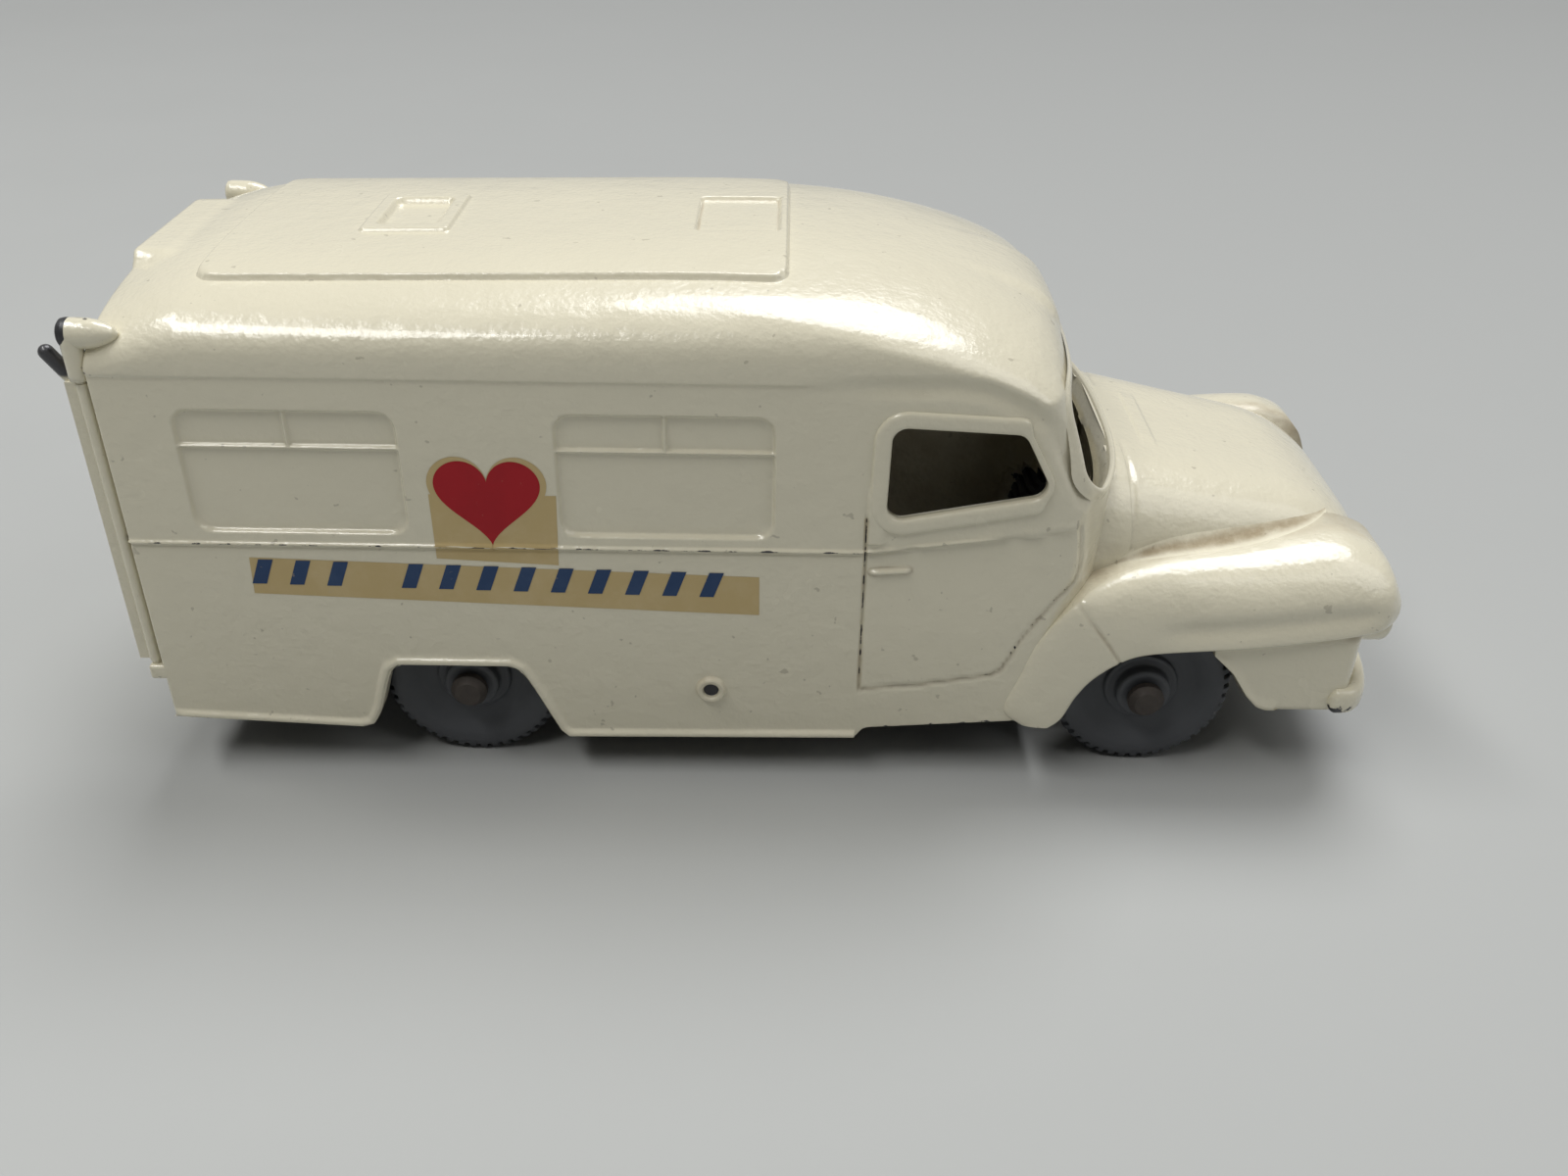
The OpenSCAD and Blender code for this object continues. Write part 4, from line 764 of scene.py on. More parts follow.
# %% Height of the roof anywhere
def roof_height(x, y):
    """Roof height over (x, y): bisection for the ring whose outline passes there."""
    low_up, high_up = np.zeros_like(x), np.ones_like(x)
    for _ in range(34):
        mid = (low_up + high_up) / 2
        v, front, corner = roof_ring(mid)
        wide = (half_w + drip) * v * rounded(np.clip((x - front + corner) / corner, 0, 1))
        inside = wide > np.abs(y)
        low_up, high_up = np.where(inside, mid, low_up), np.where(inside, high_up, mid)
    return roof_level(roof_ring((low_up + high_up) / 2)[0], x)


# %% Roof panel
hatch_rim, panel_skirt, sunk_under_roof = 0.8, 0.25, 0.004
panel_rise, rim_rise, well_depth, hatch_depth = 0.3, 0.2, 0.13, 0.2
panel = np.array([rear_x + 4.4, rear_x + 33.3, -8.4, 8.4])
rear_hatch = np.array([rear_x + 11.2, rear_x + 15.8, -3.05, 3.05])
front_hatch = np.array([rear_x + 28.5, rear_x + 32.8, -2.9, 2.9])
well = rear_hatch + hatch_rim * np.array([1, -1, 1, -1])
outlines = np.array([panel, rear_hatch, well, front_hatch])
panel_x = lines(panel[0] - panel_skirt, panel[1] + panel_skirt, 0.3, outlines[:, :2].ravel(), 0.05, 0.28)
panel_y = lines(panel[2] - panel_skirt, panel[3] + panel_skirt, 0.3, outlines[:, 2:].ravel(), 0.05, 0.28)
PX, PY = np.meshgrid(panel_x, panel_y, indexing="ij")
to_panel, to_rear, to_well, to_front = (
    box_distance(PX, PY, *box, r) for box, r in zip(outlines, (1.0, 0.25, 0.3, 0.3)))
in_rear, in_well = 1 - ease((to_rear + 0.12) / 0.24), 1 - ease((to_well + 0.2) / 0.4)
step = panel_rise * (1 - ease((to_panel + 0.16) / 0.2)) - 0.05 * (to_panel > 0.06)
step = step + in_rear * (rim_rise * (1 - in_well) - well_depth * in_well)
step = step - hatch_depth * (1 - ease((to_front + 0.12) / 0.26))
panel_points = np.stack([PX, PY, roof_height(PX, PY) + step - sunk_under_roof], -1)
# Darker along the panel's edge, and painted shade round the outline of the sunk front hatch.
panel_grime = np.maximum(0.3 * ridge(np.abs(to_panel), 0.3), 0.6 * ridge(np.abs(to_front + 0.1), 0.2))
piece("roof_panel", [patch(panel_points, middle(to_panel) < 0.16, grime=panel_grime)], cream)

# %% [markdown]
# ## Rims of the openings
# A rim is a bead swept along the outline of an opening, with a return into the wall. The profile is
# a row of offsets and heights, and the path is the outline with its corners rounded.


# %% Rims
screen_lean = (0.84, 0.54)


def rim(cab_profile, screen_profile, thin=1.0):
    """Rims of both cab windows and of the windscreen: a profile of (offset, height) carried along each
    outline. The rim of a cab window gets thinner ahead."""
    offset, height = np.array(cab_profile).T[..., None]
    width = 1 - thin * 0.6 * ease((cab_normal[:, 0] - 0.3) / 0.5)
    u, z = np.moveaxis(cab_path[None] + (offset * width)[..., None] * cab_normal[None], -1, 0)
    side = np.stack([u, -side_y(u, z) - height, z], -1)
    offset, height = np.array(screen_profile).T[..., None]
    u, z = np.moveaxis(screen_path[None] + offset[..., None] * screen_normal[None], -1, 0)
    front = np.stack([front_of(u, z) + height * screen_lean[0], u, z + height * screen_lean[1]], -1)
    marks = {"round_j": True, "wear": 0.4, "grime": 0.12}
    return [patch(side, **marks), patch(mirrored(side), flip=True, **marks), patch(front, **marks)]


bead = [
    (0.0, -0.12), (0.01, 0.02), (0.06, 0.12), (0.16, 0.17), (0.3, 0.18), (0.43, 0.14), (0.52, 0.07),
    (0.6, 0.0), (0.7, -0.04),
]
flat_bead = [
    (0.0, -0.12), (0.01, 0.04), (0.05, 0.13), (0.13, 0.18), (0.3, 0.19), (0.6, 0.19), (0.76, 0.18),
    (0.83, 0.12), (0.87, 0.04), (0.9, -0.04),
]
cab_return = [(1.5, -1.15), (0.5, -1.15), (0.0, -0.4), (0.0, -0.12)]
screen_return = [(0.45, -1.15), (0.0, -0.4), (0.0, -0.12)]
piece("window_rims", rim(flat_bead, bead), cream)
# The returns take the darker inside enamel: painted shade on the faces that turn into the openings.
piece("window_returns", rim(cab_return, screen_return, thin=0.0), overspray_and_shade_cream)

# %% [markdown]
# ## Hood and nose
# Sections of the hood are superellipses over straight walls, tapering to the front and closing in a
# blunt nose. The grille is a row of level slots pressed into the nose, and a strip vent stands
# ahead of the windscreen.

# %% Outline of the hood
hood_rear_w, hood_taper, hood_rear_h, hood_fall = 19.4, 2.8, 16.8, 1.8
wall_low, wall_top = 5.0, 10.8
nose_l, nose_power, brow_power = 5.2, 3.5, 2.1
nose_x = front_x - 0.5 - nose_l


def hood_share(x):
    """Share of the way from the cowl to where the nose begins."""
    return (x - cowl_x) / (nose_x - cowl_x)


def nose_share(x):
    """0 where the nose begins, 1 at its tip."""
    return np.clip((x - nose_x) / nose_l, 0, 1)


def straight_half(x):
    """Half width of the hood before the nose closes it: a straight taper."""
    return (hood_rear_w - hood_taper * hood_share(x)) / 2


def hood_top_at(x):
    """Top of the hood: a straight fall, closed at the nose by a superellipse."""
    fallen = hood_rear_h - hood_fall * hood_share(x) - wall_top
    return wall_top + fallen * rounded(nose_share(x), brow_power)


# %% Grid of the hood
slot_count, slot_foot, slot_h, slot_pitch, slot_half, slot_depth = 5, 7, 0.42, 0.8, 6.0, 0.45
vent = (cowl_x + 1.7, cowl_x + 2.5, -3.1, 3.1)
slot_feet = [slot_foot + slot_pitch * k for k in range(slot_count)]
slot_edges = [z + s for z in slot_feet for s in (0, slot_h)]
nose_run, nose_side = round_off(np.radians(np.linspace(0, 90, 90))[1:], nose_power)
hood_line = lines(cowl_x - 5, nose_x, 0.25, [cowl_x, *vent[:2]], 0.06, 0.3)
closing = np.concatenate([np.ones(len(hood_line)), nose_side])
hood_line = np.concatenate([hood_line, nose_x + nose_l * nose_run])
hood_half, hood_top = straight_half(hood_line) * closing, hood_top_at(hood_line)
wall_z = lines(wall_low, wall_top, 0.3, slot_edges, 0.06, 0.12)
section_a = np.radians(np.linspace(0, 180, 121))
section_y = -np.sign(np.cos(section_a)) * np.abs(np.cos(section_a)) ** (2 / 5)
section_up = np.sin(section_a) ** (2 / 2.5)
wall_side, wall_rows = np.ones(len(wall_z) - 1), np.repeat(wall_z[None, :-1], len(hood_line), 0)
HY = np.concatenate([-wall_side, section_y, wall_side])[None] * hood_half[:, None]
arch = wall_top + (hood_top[:, None] - wall_top) * section_up
HZ = np.concatenate([wall_rows, arch, wall_rows[:, ::-1]], 1)
HX = np.repeat(hood_line[:, None], HY.shape[1], 1)
print("hood grid", HX.shape, "nose from", round(nose_x, 2))

# %% Grille slots, vent and seam of the hood
seam_depth, vent_out = 0.13, 0.08
from_slot = np.min([np.abs(HZ - z - slot_h / 2) for z in slot_feet], 0)
slot = 1 - ease((from_slot - 0.17) / 0.12)
slot = slot * (1 - ease((np.abs(HY) - slot_half) / 0.2)) * (HX > nose_x)
in_vent = 1 - ease((box_distance(HX, HY, *vent, 0.2) + 0.08) / 0.2)
from_seam = np.abs(HX - cowl_x - 0.35)
cowl_seam = ridge(from_seam, 0.14) * (np.abs(HY) > 4)
hood_points = np.stack([
    HX - slot_depth * slot,
    HY - seam_depth * cowl_seam * np.sign(HY),
    HZ + (vent_out * in_vent - seam_depth * cowl_seam) * (HZ > 11)], -1)
hood_grime = np.maximum.reduce([
    0.9 * slot,
    0.5 * cowl_seam,
    0.25 * ridge(from_seam, 0.4),
    0.5 * (1 - ease((np.abs(HZ - 13.2) - 0.1) / 0.9)) * (np.abs(HY) > 7)])
outside = (middle(HX) > front_of(middle(HY), middle(HZ)) - 0.3) & wheel_room(hood_points)
piece("hood", [patch(hood_points, outside, wear=0.5 * cowl_seam, grime=hood_grime)], cream)

# %% [markdown]
# ## Fillet between hood and fender
# Cast forms meet in a soft valley, not in a sharp line. A short curve runs from the fender, past the
# crease, up the hood at each row of the fender: a quadratic Bezier curve between two surface places.

# %% Fillet strips
fillet_w, fillet_from, fillet_past_nose = 1.2, 19.0, 2.4


def hood_y(x, z):
    """Half width of the hood at a height over its straight walls: its section read the other way."""
    share = np.clip((z - wall_top) / np.maximum(hood_top_at(x) - wall_top, 1e-3), 0, 0.999)
    return straight_half(x) * rounded(nose_share(x), nose_power) * (1 - share**2.5) ** 0.2


use = (crown[:, 0] > fillet_from) & (crown[:, 0] < nose_x + fillet_past_nose)
crease_x, crease_z = crown[use].T
crease_y = hood_y(crease_x, crease_z)
along = np.clip((crease_x - fillet_from + 0.4) / (nose_x + 2.6 - fillet_from + 0.4), 0, 1)
soft = fillet_w * np.sin(np.pi * along) ** 0.6
reach_y, head_z = crease_y + soft, crease_z + soft * 0.9
lifted = rounded(np.clip((reach_y - y_in[use]) / (y_out - y_in)[use], 0, 1))
low_xz = edge[use] + (crown - edge)[use] * lifted[:, None]
first = np.stack([low_xz[:, 0], reach_y, low_xz[:, 1] - 0.02], -1)
mid = np.stack([crease_x, crease_y, crease_z], -1)
last = np.stack([crease_x, hood_y(crease_x, head_z) - 0.02, head_z], -1)
t = np.linspace(0, 1, 14)[None, :, None]
fillet = (1 - t) ** 2 * first[:, None] + 2 * t * (1 - t) * mid[:, None] + t**2 * last[:, None]
fillet_grime = np.repeat(0.95 * np.sin(np.pi * t[..., 0]) ** 2, len(fillet), 0)
fillets = [patch(fillet, flip=True, grime=fillet_grime), patch(mirrored(fillet), grime=fillet_grime)]
piece("fillets", fillets, dull_cream)

# %% [markdown]
# ## Apron, bumper and headlamps
# The apron follows a superellipse in plan below the fenders and is cut away round the wheels. The
# bumper is a bar swept along a wider plan of the same kind. Headlamps are profiles turned about an
# axis, with a domed lens cast in one with the bezel.


# %% Apron
def plan_curve(width, setback, corner, back, count=120):
    """Right half of a plan: straight from back to the corner, then a superellipse to the middle."""
    run, side = round_off(np.radians(np.linspace(0, 90, count)))
    begin = front_x - setback - corner
    x = np.concatenate([np.linspace(back, begin, 50)[:-1], begin + corner * run])
    return x, -width / 2 * np.concatenate([np.ones(49), side])


apron_back, apron_top = 24.3, 9.75
apron_x, apron_y = plan_curve(24.3, 1.1, 1.8, apron_back)
apron_low = np.interp(apron_x, [apron_back, 25.5, 26.47, 27.1, 27.6], [8.3, 7.15, 5.68, 5.0, 4.8])
AZ = apron_low + (apron_top - apron_low) * np.linspace(0, 1, 24)[:, None]
apron = np.stack([np.repeat(apron_x[None], 24, 0), np.repeat(apron_y[None], 24, 0), AZ], -1)
roll_in = np.repeat(apron[:1], 3, 0)
roll_in[:, :, 1] += np.array([1.1, 0.3, 0.1])[:, None]
roll_in[:, :, 2] -= np.array([0.0, 0.05, 0.035])[:, None]
apron[:, :, 1] -= 0.14 * (1 - ease((AZ - apron_low) / 0.7)) * (apron_x < 28.2)
apron = np.vstack([roll_in, apron])
apron_wear = np.concatenate([[0.5, 0.55, 0.55, 0.5, 0.3], np.zeros(22)])[:, None]
apron_grime = np.concatenate([[0.5, 0.3, 0.1], np.zeros(17), np.linspace(0, 0.9, 7)])[:, None]
apron_parts = [patch(apron, flip=True, wear=apron_wear, grime=apron_grime),
               patch(mirrored(apron), wear=apron_wear, grime=apron_grime)]
print("apron grid", apron.shape)

# %% Bumper
bar_h, bar_thick, bar_tall, bar_end_r = 5.45, 0.48, 0.75, 0.5
bar_x, bar_y = plan_curve(24.2, 0.5, 2.2, front_x - 3.4)
run = np.gradient(np.stack([bar_x, bar_y], -1), axis=0)
run /= np.linalg.norm(run, axis=1, keepdims=True)
around = np.radians(np.linspace(0, 360, 28, endpoint=False))[:, None]
far = np.concatenate([[0], np.cumsum(np.hypot(np.diff(bar_x), np.diff(bar_y)))])
close = np.sqrt(np.clip(1 - (1 - np.clip(far / bar_end_r, 0, 1)) ** 2, 0.0004, 1))
bar_out = close * bar_thick * np.sign(np.cos(around)) * np.abs(np.cos(around)) ** 0.7
bar_up = close * bar_tall * np.sign(np.sin(around)) * np.abs(np.sin(around)) ** 0.7
bar = np.stack([bar_x + run[:, 1] * bar_out, bar_y - run[:, 0] * bar_out, bar_h + bar_up], -1)
bar_wear = np.broadcast_to(0.35 + 0.42 * np.exp(-far / 2.0), bar.shape[:2])
bar_parts = [patch(bar, round_i=True, flip=True, wear=bar_wear, grime=0.25),
             patch(mirrored(bar), round_i=True, wear=bar_wear, grime=0.25)]
piece("apron_and_bumper", apron_parts + bar_parts, cream)



# %% Turned forms
def turned(profile, place, axis, count=64, flip=False, wear=0.0, grime=0.0, steps=6):
    """A profile of (radius, height) turned about an axis through a place."""
    profile = np.array(profile, float)
    fine = np.linspace(0, len(profile) - 1, (len(profile) - 1) * steps + 1)
    radius = np.interp(fine, np.arange(len(profile)), profile[:, 0])
    height = np.interp(fine, np.arange(len(profile)), profile[:, 1])
    angle = np.linspace(0, 2 * np.pi, count, endpoint=False)
    u, v = radius[:, None] * np.cos(angle), radius[:, None] * np.sin(angle)
    h = np.repeat(height[:, None], count, 1)
    points = np.stack([h, u, v] if axis == "x" else [u, h, v], -1) + np.array(place)
    return patch(points, round_j=True, flip=flip, wear=wear, grime=grime)


# %% Headlamps and filler caps
lens_r, lens_bulge = 1.44, 0.34
bulge = np.radians(np.linspace(0, 90, 8))[1:]
lamp = [(1.9, -2.6), (1.9, -0.16), (1.86, -0.05), (1.76, 0.0), (1.6, 0.0), (1.5, -0.07), (lens_r, -0.05)]
lamp += [(lens_r * np.cos(b), lens_bulge * np.sin(b)) for b in bulge]
lamps = [turned(lamp, (front_x - 0.65, s * 9.6, 10.0), "x", flip=True, grime=0.2) for s in (-1, 1)]
piece("headlamps", lamps, cream)
cap = [(0.92, -0.06), (0.8, 0.05), (0.73, 0.22), (0.66, 0.28), (0.52, 0.27), (0.44, 0.2), (0.4, 0.05)]
# Each cap's middle is a dark bare-zinc disc, barely sunk: painted shade in its hole.
hole_shade_disc = [(0.4, 0.05), (0.38, 0.02), (0.0, 0.02)]


def fillers(profile, **marks):
    """A filler profile turned outwards on both sides."""
    place = {s: (rear_x + 29.45, s * half_w, 5.65) for s in (-1, 1)}
    return [turned([(r, s * h) for r, h in profile], place[s], "y", flip=s < 0, **marks) for s in (-1, 1)]


piece("filler_caps", fillers(cap, wear=0.4, grime=0.55), cream)
piece("filler_hole_shade", fillers(hole_shade_disc), zinc)

# %% [markdown]
# ## Rear end
# The rear face is a ring between the outline of the body and the doorway. A ledge below carries
# the lower hinge pins, and a round boss with an ear at each upper corner takes the upper ones.

# %% Rear face
doorway_half, sill_h, doorway_top, sill_low = 10.85, 6.8, 22.8, 3.3
arch_y = np.concatenate([coach[:, 0, 1], -coach[-2::-1, 0, 1]])
arch_z = np.concatenate([coach[:, 0, 2], coach[-2::-1, 0, 2]])
hole_y = np.clip(arch_y, -doorway_half, doorway_half)
hole_z = np.clip(arch_z, sill_h, doorway_top)
shares = np.linspace(0, 1, 12)[:, None]
ring_y, ring_z = arch_y + (hole_y - arch_y) * shares, arch_z + (hole_z - arch_z) * shares
ring = np.stack([np.full_like(ring_y, rear_x), ring_y, ring_z], -1)
reveal = np.repeat(ring[-1:], 2, 0)
reveal[1, :, 0] += wall
across_y = np.linspace(0.2 - half_w, half_w - 0.2, 40)
sill_y, sill_z = np.meshgrid(across_y, np.linspace(sill_low, sill_h, 8), indexing="ij")
sill = np.stack([np.full_like(sill_y, rear_x), sill_y, sill_z], -1)
top_y, top_x = np.meshgrid(across_y, [rear_x, rear_x + wall], indexing="ij")
sill_top = np.stack([top_x, top_y, np.full_like(top_x, sill_h)], -1)
rear_parts = [patch(ring, middle(ring_z) > sill_h, flip=True, wear=0.5 * (1 - shares) ** 3, grime=0.2)]
for sheet, grime in ((reveal, 0.4), (sill, 0.3), (sill_top, 0.4)):
    rear_parts.append(patch(sheet, flip=True, grime=grime))
piece("rear_face", rear_parts, cream)


# %% Ledge
def rounded_block(low_corner, high_corner, r, count=192, power=0.28):
    """A block with round edges: a superellipse section along its width, closed at both ends."""
    low_corner, high_corner = np.array(low_corner), np.array(high_corner)
    centre, half = (low_corner + high_corner) / 2, (high_corner - low_corner) / 2
    end = half[1] - r * (1 - np.sin(np.radians(np.linspace(0, 90, 8))))
    ys = np.sort(np.concatenate([-end, np.linspace(r - half[1], half[1] - r, 30)[1:-1], end]))[:, None]
    near = np.clip((half[1] - np.abs(ys)) / r, 0, 1)
    shrink = r * (1 - np.sqrt(np.clip(1 - (1 - near) ** 2, 0, 1)))
    a = np.radians(np.linspace(0, 360, count, endpoint=False))
    px = (half[0] - shrink) * np.sign(np.cos(a)) * np.abs(np.cos(a)) ** power
    pz = (half[2] - shrink) * np.sign(np.sin(a)) * np.abs(np.sin(a)) ** power
    points = np.stack([px, np.repeat(ys, count, 1), pz], -1) + centre
    caps = [np.stack([row, np.repeat(row.mean(0)[None], count, 0)]) for row in (points[0], points[-1])]
    return [points, *caps]


hinge_x, hinge_y = rear_x - 0.45, 11.75
block = rounded_block((hinge_x - 0.3, -half_w, 5.75), (rear_x + 0.25, half_w, 6.6), 0.15)
ledge = [patch(block[0], round_j=True, wear=0.55, grime=0.25),
         patch(block[1], round_j=True, flip=True, wear=0.6),
         patch(block[2], round_j=True, wear=0.6)]
print("ledge grid", block[0].shape)

# %% Bosses and ears
boss_h, ear_low, ear_r, pin_bore_r, ear_count = 25.2, 23.0, 0.5, 0.29, 40
boss = [(0.75, -0.45), (0.75, 0.0), (0.73, 0.4), (0.66, 0.8), (0.52, 1.2), (0.3, 1.6), (0.0, 1.8)]
boss_end = [(0.0, -1.0), (0.4, -0.99), (0.6, -0.93), (0.71, -0.84), (0.75, -0.65), (0.75, -0.45)]
boss_places = [(rear_x, s * (hinge_y - 0.25), boss_h) for s in (-1, 1)]
bosses = [turned(boss, place, "x", wear=0.5, grime=0.1, flip=True) for place in boss_places]


def hinge_ring(s, radius, z):
    """Ring of a radius round a hinge pin at a height."""
    a = np.linspace(0, 2 * np.pi, ear_count, endpoint=False)
    x, y = hinge_x + radius * np.cos(a), s * hinge_y + radius * np.sin(a)
    return np.stack([x, y, np.full(ear_count, z)], -1)


ears = []
for s in (-1, 1):
    ear = np.stack([hinge_ring(s, ear_r, z) for z in np.linspace(ear_low, boss_h, 8)])
    ears.append(patch(ear, round_j=True, flip=True, wear=0.6))
    ears.append(patch(np.stack([ear[0], hinge_ring(s, pin_bore_r, ear_low)]), round_j=True, wear=0.6))
piece("rear_fittings", ledge + bosses + ears, cream)
end_right, end_left = (turned(boss_end, place, "x", flip=True) for place in boss_places)
piece("boss_end_right", [end_right], zinc)
piece("boss_end_left", [end_left], cream)

# %% [markdown]
# ## Inside of the casting
# The inner faces show through the open windows and from below. A solid wall could come from a
# Solidify modifier, but a coarse copy of the same formulas, set in by the wall, is enough here,
# since little light reaches it. Room is left for the front wheels.

# %% Inner skin
coarse = slice(None, None, 3)
inner = flat[coarse, coarse] - wall * side_normal[coarse, coarse]
inner_keep = side_keep(inner, cab_grow=0.95, screen_grow=0.6)
inner_roof = roof_points[::4, ::4] * np.array([0.985, 0.91, 1.0]) - np.array([0, 0, wall])
inner_parts = [patch(inner, inner_keep, grime=0.5),
               patch(mirrored(inner), inner_keep, flip=True, grime=0.5),
               patch(inner_roof, grime=0.5),
               patch(mirrored(inner_roof), flip=True, grime=0.5)]
print("inner grid", inner.shape, "inner roof", inner_roof.shape)

# %% Lining of hood, fenders and apron
hood_lining_in, fender_lining_in = 0.9, 0.4
hood_lining = hood_points[coarse, coarse] - hood_lining_in * grid_normals(hood_points)[coarse, coarse]
LX, LY, LZ = (middle(grid[coarse, coarse]) for grid in (HX, HY, HZ))
lining_keep = (LX > front_of(LY, LZ) - 0.3) & wheel_room(hood_lining)
skin_columns = fender_points[::2, 8:]
to_lip = np.clip(np.arange(skin_columns.shape[1])[::-1] / 4, 0, 1)[:, None]
fender_lining = skin_columns - fender_lining_in * to_lip * grid_normals(skin_columns)
apron_skin, hold = apron[3::2, ::2], np.array([apron_back, 0, 0])
apron_lining = np.hstack([apron_skin[:, :1], (apron_skin - hold) * np.array([0.9, 0.93, 1]) + hold])
apron_lining = np.vstack([np.hstack([apron_skin[:1, :1], apron_skin[:1]]), apron_lining])
linings = [patch(hood_lining, lining_keep, flip=True, grime=0.5)]
for lining, turned_round in ((fender_lining, True), (apron_lining, False)):
    room = wheel_room(lining)
    linings.append(patch(lining, room, flip=turned_round, grime=0.5))
    linings.append(patch(mirrored(lining), room, flip=not turned_round, grime=0.5))
# Linings and inner skin take the darker inside enamel, partly painted shade.
piece("nose_lining", linings, overspray_and_shade_cream)
piece("inner_skin", inner_parts, overspray_and_shade_cream)

# %% [markdown]
# ## Wheels
# Each wheel is a profile turned about the axle, with forty-five knobs round the tread: the radius
# falls between knobs by an eased square wave. Every wheel rides on its own body.

# %% Wheel profile
knob_count, tread_depth = 45, 0.3
wheel_a = np.linspace(0, 2 * np.pi, 900, endpoint=False)
between_knobs = 1 - ease((np.cos(knob_count * wheel_a) + 0.45) / 0.5)
wheel_profile = np.array([
    (0.8, 3.6, 0), (1.36, 3.6, 0), (1.47, 3.5, 0), (1.5, 2.9, 0), (1.58, 2.84, 0), (1.92, 2.84, 0),
    (2.0, 2.78, 0), (2.06, 2.54, 0), (2.2, 2.5, 0), (2.6, 2.54, 0), (3.0, 2.68, 0), (3.4, 2.92, 0),
    (3.8, 3.12, 0), (4.25, 3.2, 0),
    (4.5, 3.17, 0.15), (4.7, 3.06, 0.7), (4.84, 2.9, 1), (4.9, 2.7, 1), (4.9, 0.5, 1), (4.84, 0.3, 1),
    (4.7, 0.14, 0.7), (4.5, 0.03, 0.15), (4.25, 0.0, 0), (3.4, 0.0, 0), (3.3, 0.1, 0), (3.3, 0.7, 0),
    (1.5, 0.7, 0), (1.47, 0.6, 0), (1.47, -0.4, 0), (0.8, -0.4, 0),
])
rows = np.arange(len(wheel_profile))
fine = np.linspace(0, rows[-1], rows[-1] * 3 + 1)
profile_r, profile_w, tread = (np.interp(fine, rows, column)[:, None] for column in wheel_profile.T)
radius = profile_r - tread_depth * tread * between_knobs
across = np.repeat(profile_w - tyre_w, len(wheel_a), 1)
print("wheel grid", radius.shape, "radius", radius.max())

# %% Four wheels
for end, axle_x in (("front", front_axle_x), ("rear", rear_axle_x)):
    for side, s in (("right", -1), ("left", 1)):
        wheel_x, wheel_z = axle_x + radius * np.cos(wheel_a), axle_h + radius * np.sin(wheel_a)
        wheel = patch(np.stack([wheel_x, s * (tyre_out_y + across), wheel_z], -1), round_j=True, flip=s > 0)
        name, node = f"{end}_{side}", f"{end}_wheel_{side}"
        piece("tyre_" + name, [wheel], plastic, "wheel_" + name, (node,))

# %% [markdown]
# ## Doors, axles and base plate
# These plain pieces keep their CAD form, which already has the right shape. Only their finish is
# new: enamel on the doors, dull steel on the axles, black enamel on the plate.

# %% Finish of the kept nodes
kept = {"rear_door_right": door_cream, "rear_door_left": door_cream,
        "front_axle": steel, "rear_axle": steel, "baseplate": black}
for name, material in kept.items():
    nodes[name].data.materials.clear()
    nodes[name].data.materials.append(material)
print("kept nodes:", sorted(kept))

# %% [markdown]
# ## Transfers
# The sides carry thin paper transfers: a plain heart and a row of slanted bars on yellowed film. A
# picture could be mapped on instead. Here each is a patch of its own, laid over the relief of the
# side and raised by a hair, so that it follows the belt bead and keeps a sharp edge.


# %% Film, heart and bars
def film_material(name, colour, stain, rough=0.35):
    """Thin printed film: one ink, stained and rubbed by noise."""
    material, tree, shader, make = new_material(name)
    coords = make("ShaderNodeTexCoord").outputs["Object"]
    blots = ramp(make, noise(make, coords, 380.0, 5.0, 0.7), 0.4, 0.75)
    rubbed = ramp(make, noise(make, coords, 2200.0, 3.0), 0.66, 0.74)
    tone = mix(make, combine(make, blots, 0.4), (*colour, 1), (*stain, 1))
    tone = mix(make, combine(make, rubbed, 0.3), tone, (0.55, 0.45, 0.30, 1))
    tree.links.new(tone, shader.inputs["Base Color"])
    shader.inputs["Roughness"].default_value = rough
    shader.inputs["Specular IOR Level"].default_value = 0.25
    bump = make("ShaderNodeBump", {"Strength": 0.15, "Distance": 0.00005, "Height": blots})
    tree.links.new(bump.outputs[0], shader.inputs["Normal"])
    return material


film = film_material("aged_film", (0.56, 0.43, 0.21), (0.66, 0.54, 0.32))
red = film_material("red_ink", (0.40, 0.006, 0.014), (0.30, 0.005, 0.012))
navy = film_material("navy_ink", (0.022, 0.055, 0.14), (0.05, 0.09, 0.18))


def on_side(x, z, lift):
    """A place on the side, over the relief there, raised by lift."""
    return np.stack([x, -half_w - side_relief(x, z)[0] - lift, z], -1)


def quad(corners, lift, nu, nv):
    """A four-cornered film laid on the side: straight lines between opposite edges."""
    a, b, c, d = (np.array(p, float) for p in corners)
    u, v = np.linspace(0, 1, nu)[:, None, None], np.linspace(0, 1, nv)[None, :, None]
    flat = (1 - v) * ((1 - u) * a + u * b) + v * ((1 - u) * d + u * c)
    return on_side(flat[..., 0], flat[..., 1], lift)


def both(points, flip=False):
    """A film on the right side and its mirror image on the left."""
    return [patch(points, flip=flip), patch(mirrored(points), flip=not flip)]


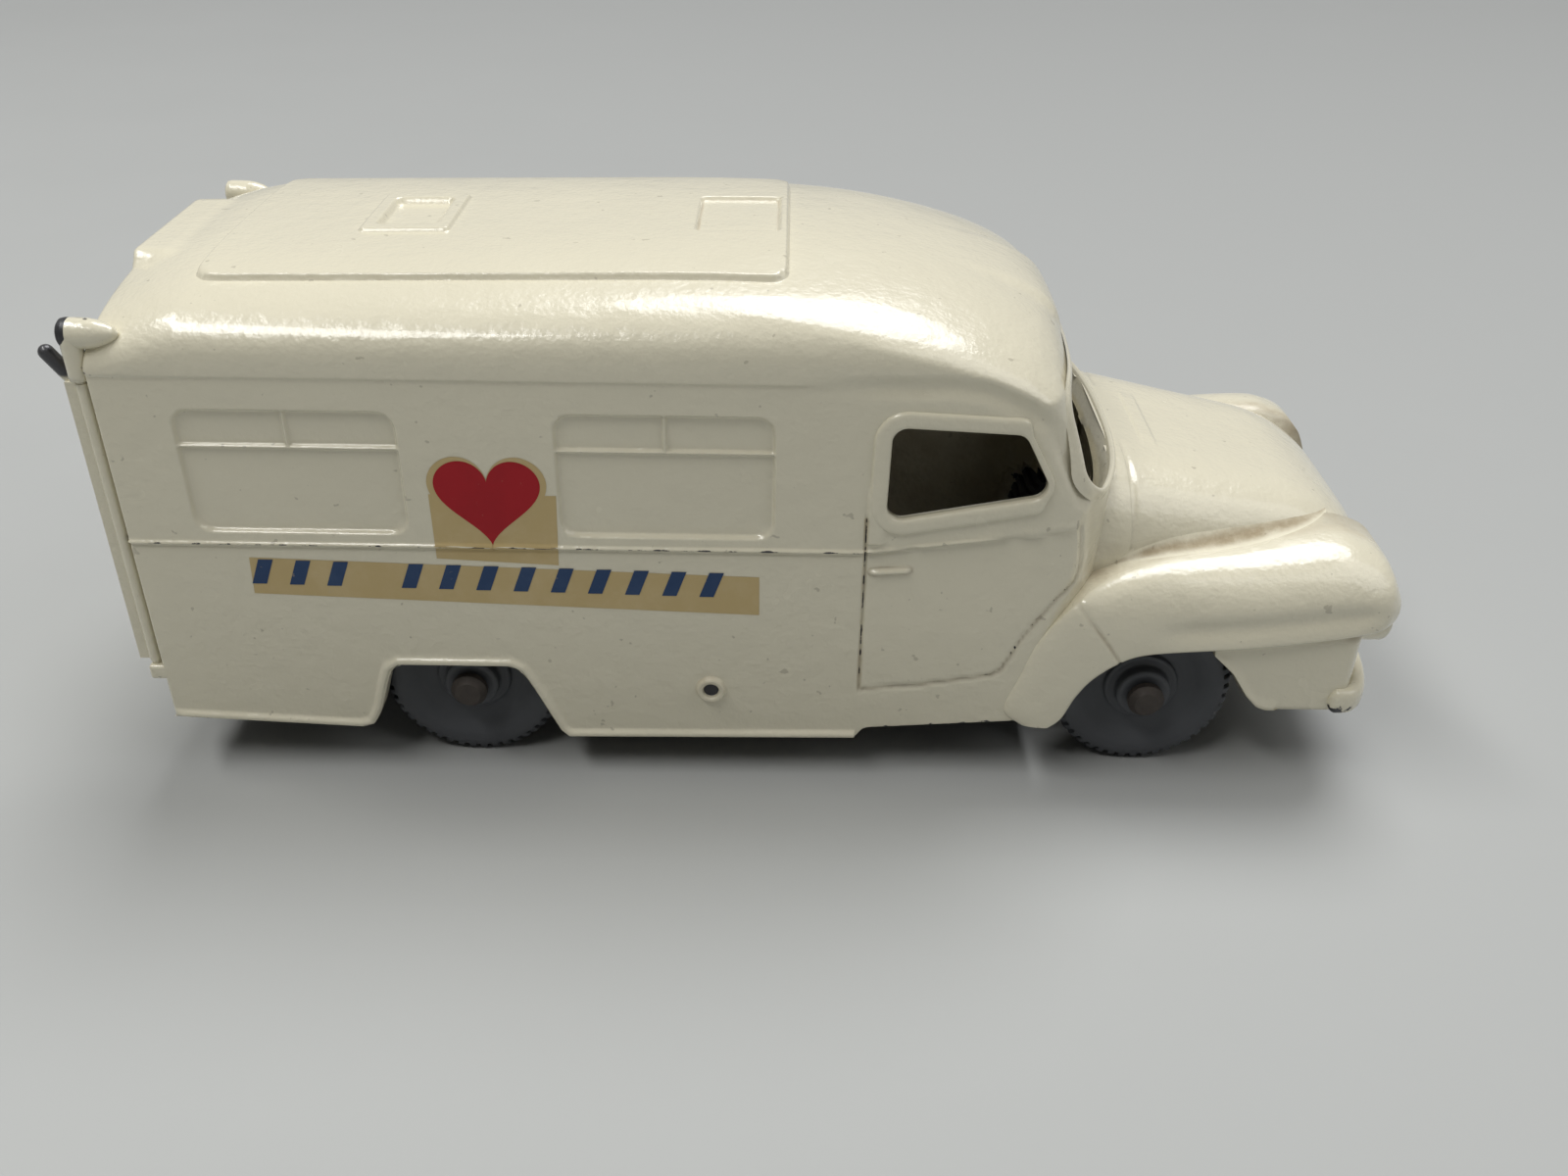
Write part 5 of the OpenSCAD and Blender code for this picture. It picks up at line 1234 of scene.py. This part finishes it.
# %% Film, heart and bars on both sides
heart_place, heart_scale = (-13.35, 17.2), 0.165
film_corners = [(-16.3, 13.6), (-10.1, 13.3), (-9.95, 17.3), (-16.3, 17.3)]
strip_corners = [(-26.0, 11.35), (0.15, 10.45), (0.15, 12.75), (-25.9, 13.5)]
films = both(quad(film_corners, 0.012, 60, 40)) + both(quad(strip_corners, 0.015, 130, 16))
angle = np.linspace(0, 2 * np.pi, 160)
heart_x = 16 * np.sin(angle) ** 3
heart_z = 13 * np.cos(angle) - 5 * np.cos(2 * angle) - 2 * np.cos(3 * angle) - np.cos(4 * angle)
t = np.linspace(0, 1, 30)[:, None]
heart = on_side(heart_place[0] + t * heart_x * heart_scale, heart_place[1] + t * heart_z * heart_scale, 0.03)
halo = on_side(heart_place[0] + t * heart_x * 0.185, heart_place[1] - 0.05 + t * heart_z * 0.188, 0.02)
piece("film", films + both(halo, True), film, stands_for=None)
piece("heart", both(heart, True), red, stands_for=None)
bar_start, bar_pitch, bar_fall, bar_w, bar_slant = (-26.0, 12.05), 1.92, 0.035, 0.75, 0.55
bars = []
for k in [0, 1, 2, *range(4, 13)]:
    x, z = bar_start[0] + k * bar_pitch, bar_start[1] - k * bar_fall
    low_z, high_z = z - 0.1, z + 1.35
    corners = [(x, low_z), (x + bar_w, low_z), (x + bar_w + bar_slant, high_z), (x + bar_slant, high_z)]
    bars += both(quad(corners, 0.032, 8, 14))
piece("bars", bars, navy, stands_for=None)

# %% [markdown]
# ## Studio
# A pale floor, a strip of light overhead for the shine on the roof's shoulder, an even light from
# behind and above, and a soft panel at the front. The surroundings are pale where the camera sees
# them or the enamel mirrors them, and dim as a light. The camera was solved from the perspective of
# the photograph.

# %% Floor and surroundings
floor_half, dim_level, seen_level = 20, 0.06, 0.4
floor_mesh = bpy.data.meshes.new("floor")
floor_points = [(x * floor_half, y * floor_half, 0) for x, y in ((-1, -1), (1, -1), (1, 1), (-1, 1))]
floor_mesh.from_pydata(floor_points, [], [(0, 1, 2, 3)])
floor = add("floor", floor_mesh)
pale_floor = plain_finish("pale_floor", (0.40, 0.41, 0.405), (0.44, 0.45, 0.445), 0.8, scale=40.0)
floor_mesh.materials.append(pale_floor)
world = bpy.data.worlds.new("studio")
bpy.context.scene.world = world
world.use_nodes = True
tree = world.node_tree
background = tree.nodes["Background"]
background.inputs[0].default_value = (1.0, 1.0, 0.97, 1)
rays = tree.nodes.new("ShaderNodeLightPath")
shown = rays.outputs["Is Camera Ray"]
for kind in ("Is Transmission Ray", "Is Glossy Ray"):
    either = tree.nodes.new("ShaderNodeMath")
    either.operation = "MAXIMUM"
    tree.links.new(shown, either.inputs[0])
    tree.links.new(rays.outputs[kind], either.inputs[1])
    shown = either.outputs[0]
level = tree.nodes.new("ShaderNodeMapRange")
level.inputs[3].default_value, level.inputs[4].default_value = dim_level, seen_level
tree.links.new(shown, level.inputs[0])
tree.links.new(level.outputs[0], background.inputs[1])
print("surroundings from", dim_level, "to", seen_level)


# %% Lights
def facing(way):
    """The rotation that makes a light shine along a way."""
    return Vector(way).to_track_quat("-Z", "Y").to_euler()


def soft_light(name, place, target, size, power, colour=(1, 1, 1)):
    """An area light of a length and a width at a place, turned towards a target."""
    data = bpy.data.lights.new(name, "AREA")
    data.shape, data.size, data.size_y = "RECTANGLE", *size
    data.energy, data.color = power, colour
    light = add(name, data)
    light.location = place
    light.rotation_euler = facing(Vector(target) - Vector(place))


soft_light("overhead_strip", (-0.16, -0.07, 0.315), (-0.01, 0, 0.02), (0.32, 0.055), 0.64, (1, 0.99, 0.96))
sky = bpy.data.lights.new("back_light", "SUN")
sky.energy, sky.angle = 2.0, np.radians(35)
sky_light = add("back_light", sky)
sky_light.rotation_euler = facing((-0.06, -0.16, -0.34))
soft_light("front_panel", (0.26, -0.08, 0.30), (0.02, 0, 0.01), (0.3, 0.3), 0.36)
print("lights:", [light.name for light in bpy.data.lights])

# %% Camera
camera_place, camera_tilt, camera_roll = (0.001425, -0.07365, 0.0502), 58.2, 0.85
camera_data = bpy.data.cameras.new("camera")
camera_data.lens, camera_data.sensor_width = 32.175, 36
camera_data.clip_start = 0.005
camera = add("camera", camera_data)
tilt = Matrix.Rotation(np.radians(camera_tilt), 4, "X")
roll = Matrix.Rotation(np.radians(camera_roll), 4, "Z")
camera.matrix_world = Matrix.Translation(camera_place) @ tilt @ roll
bpy.context.scene.camera = camera
bpy.context.scene.view_settings.view_transform = "Standard"
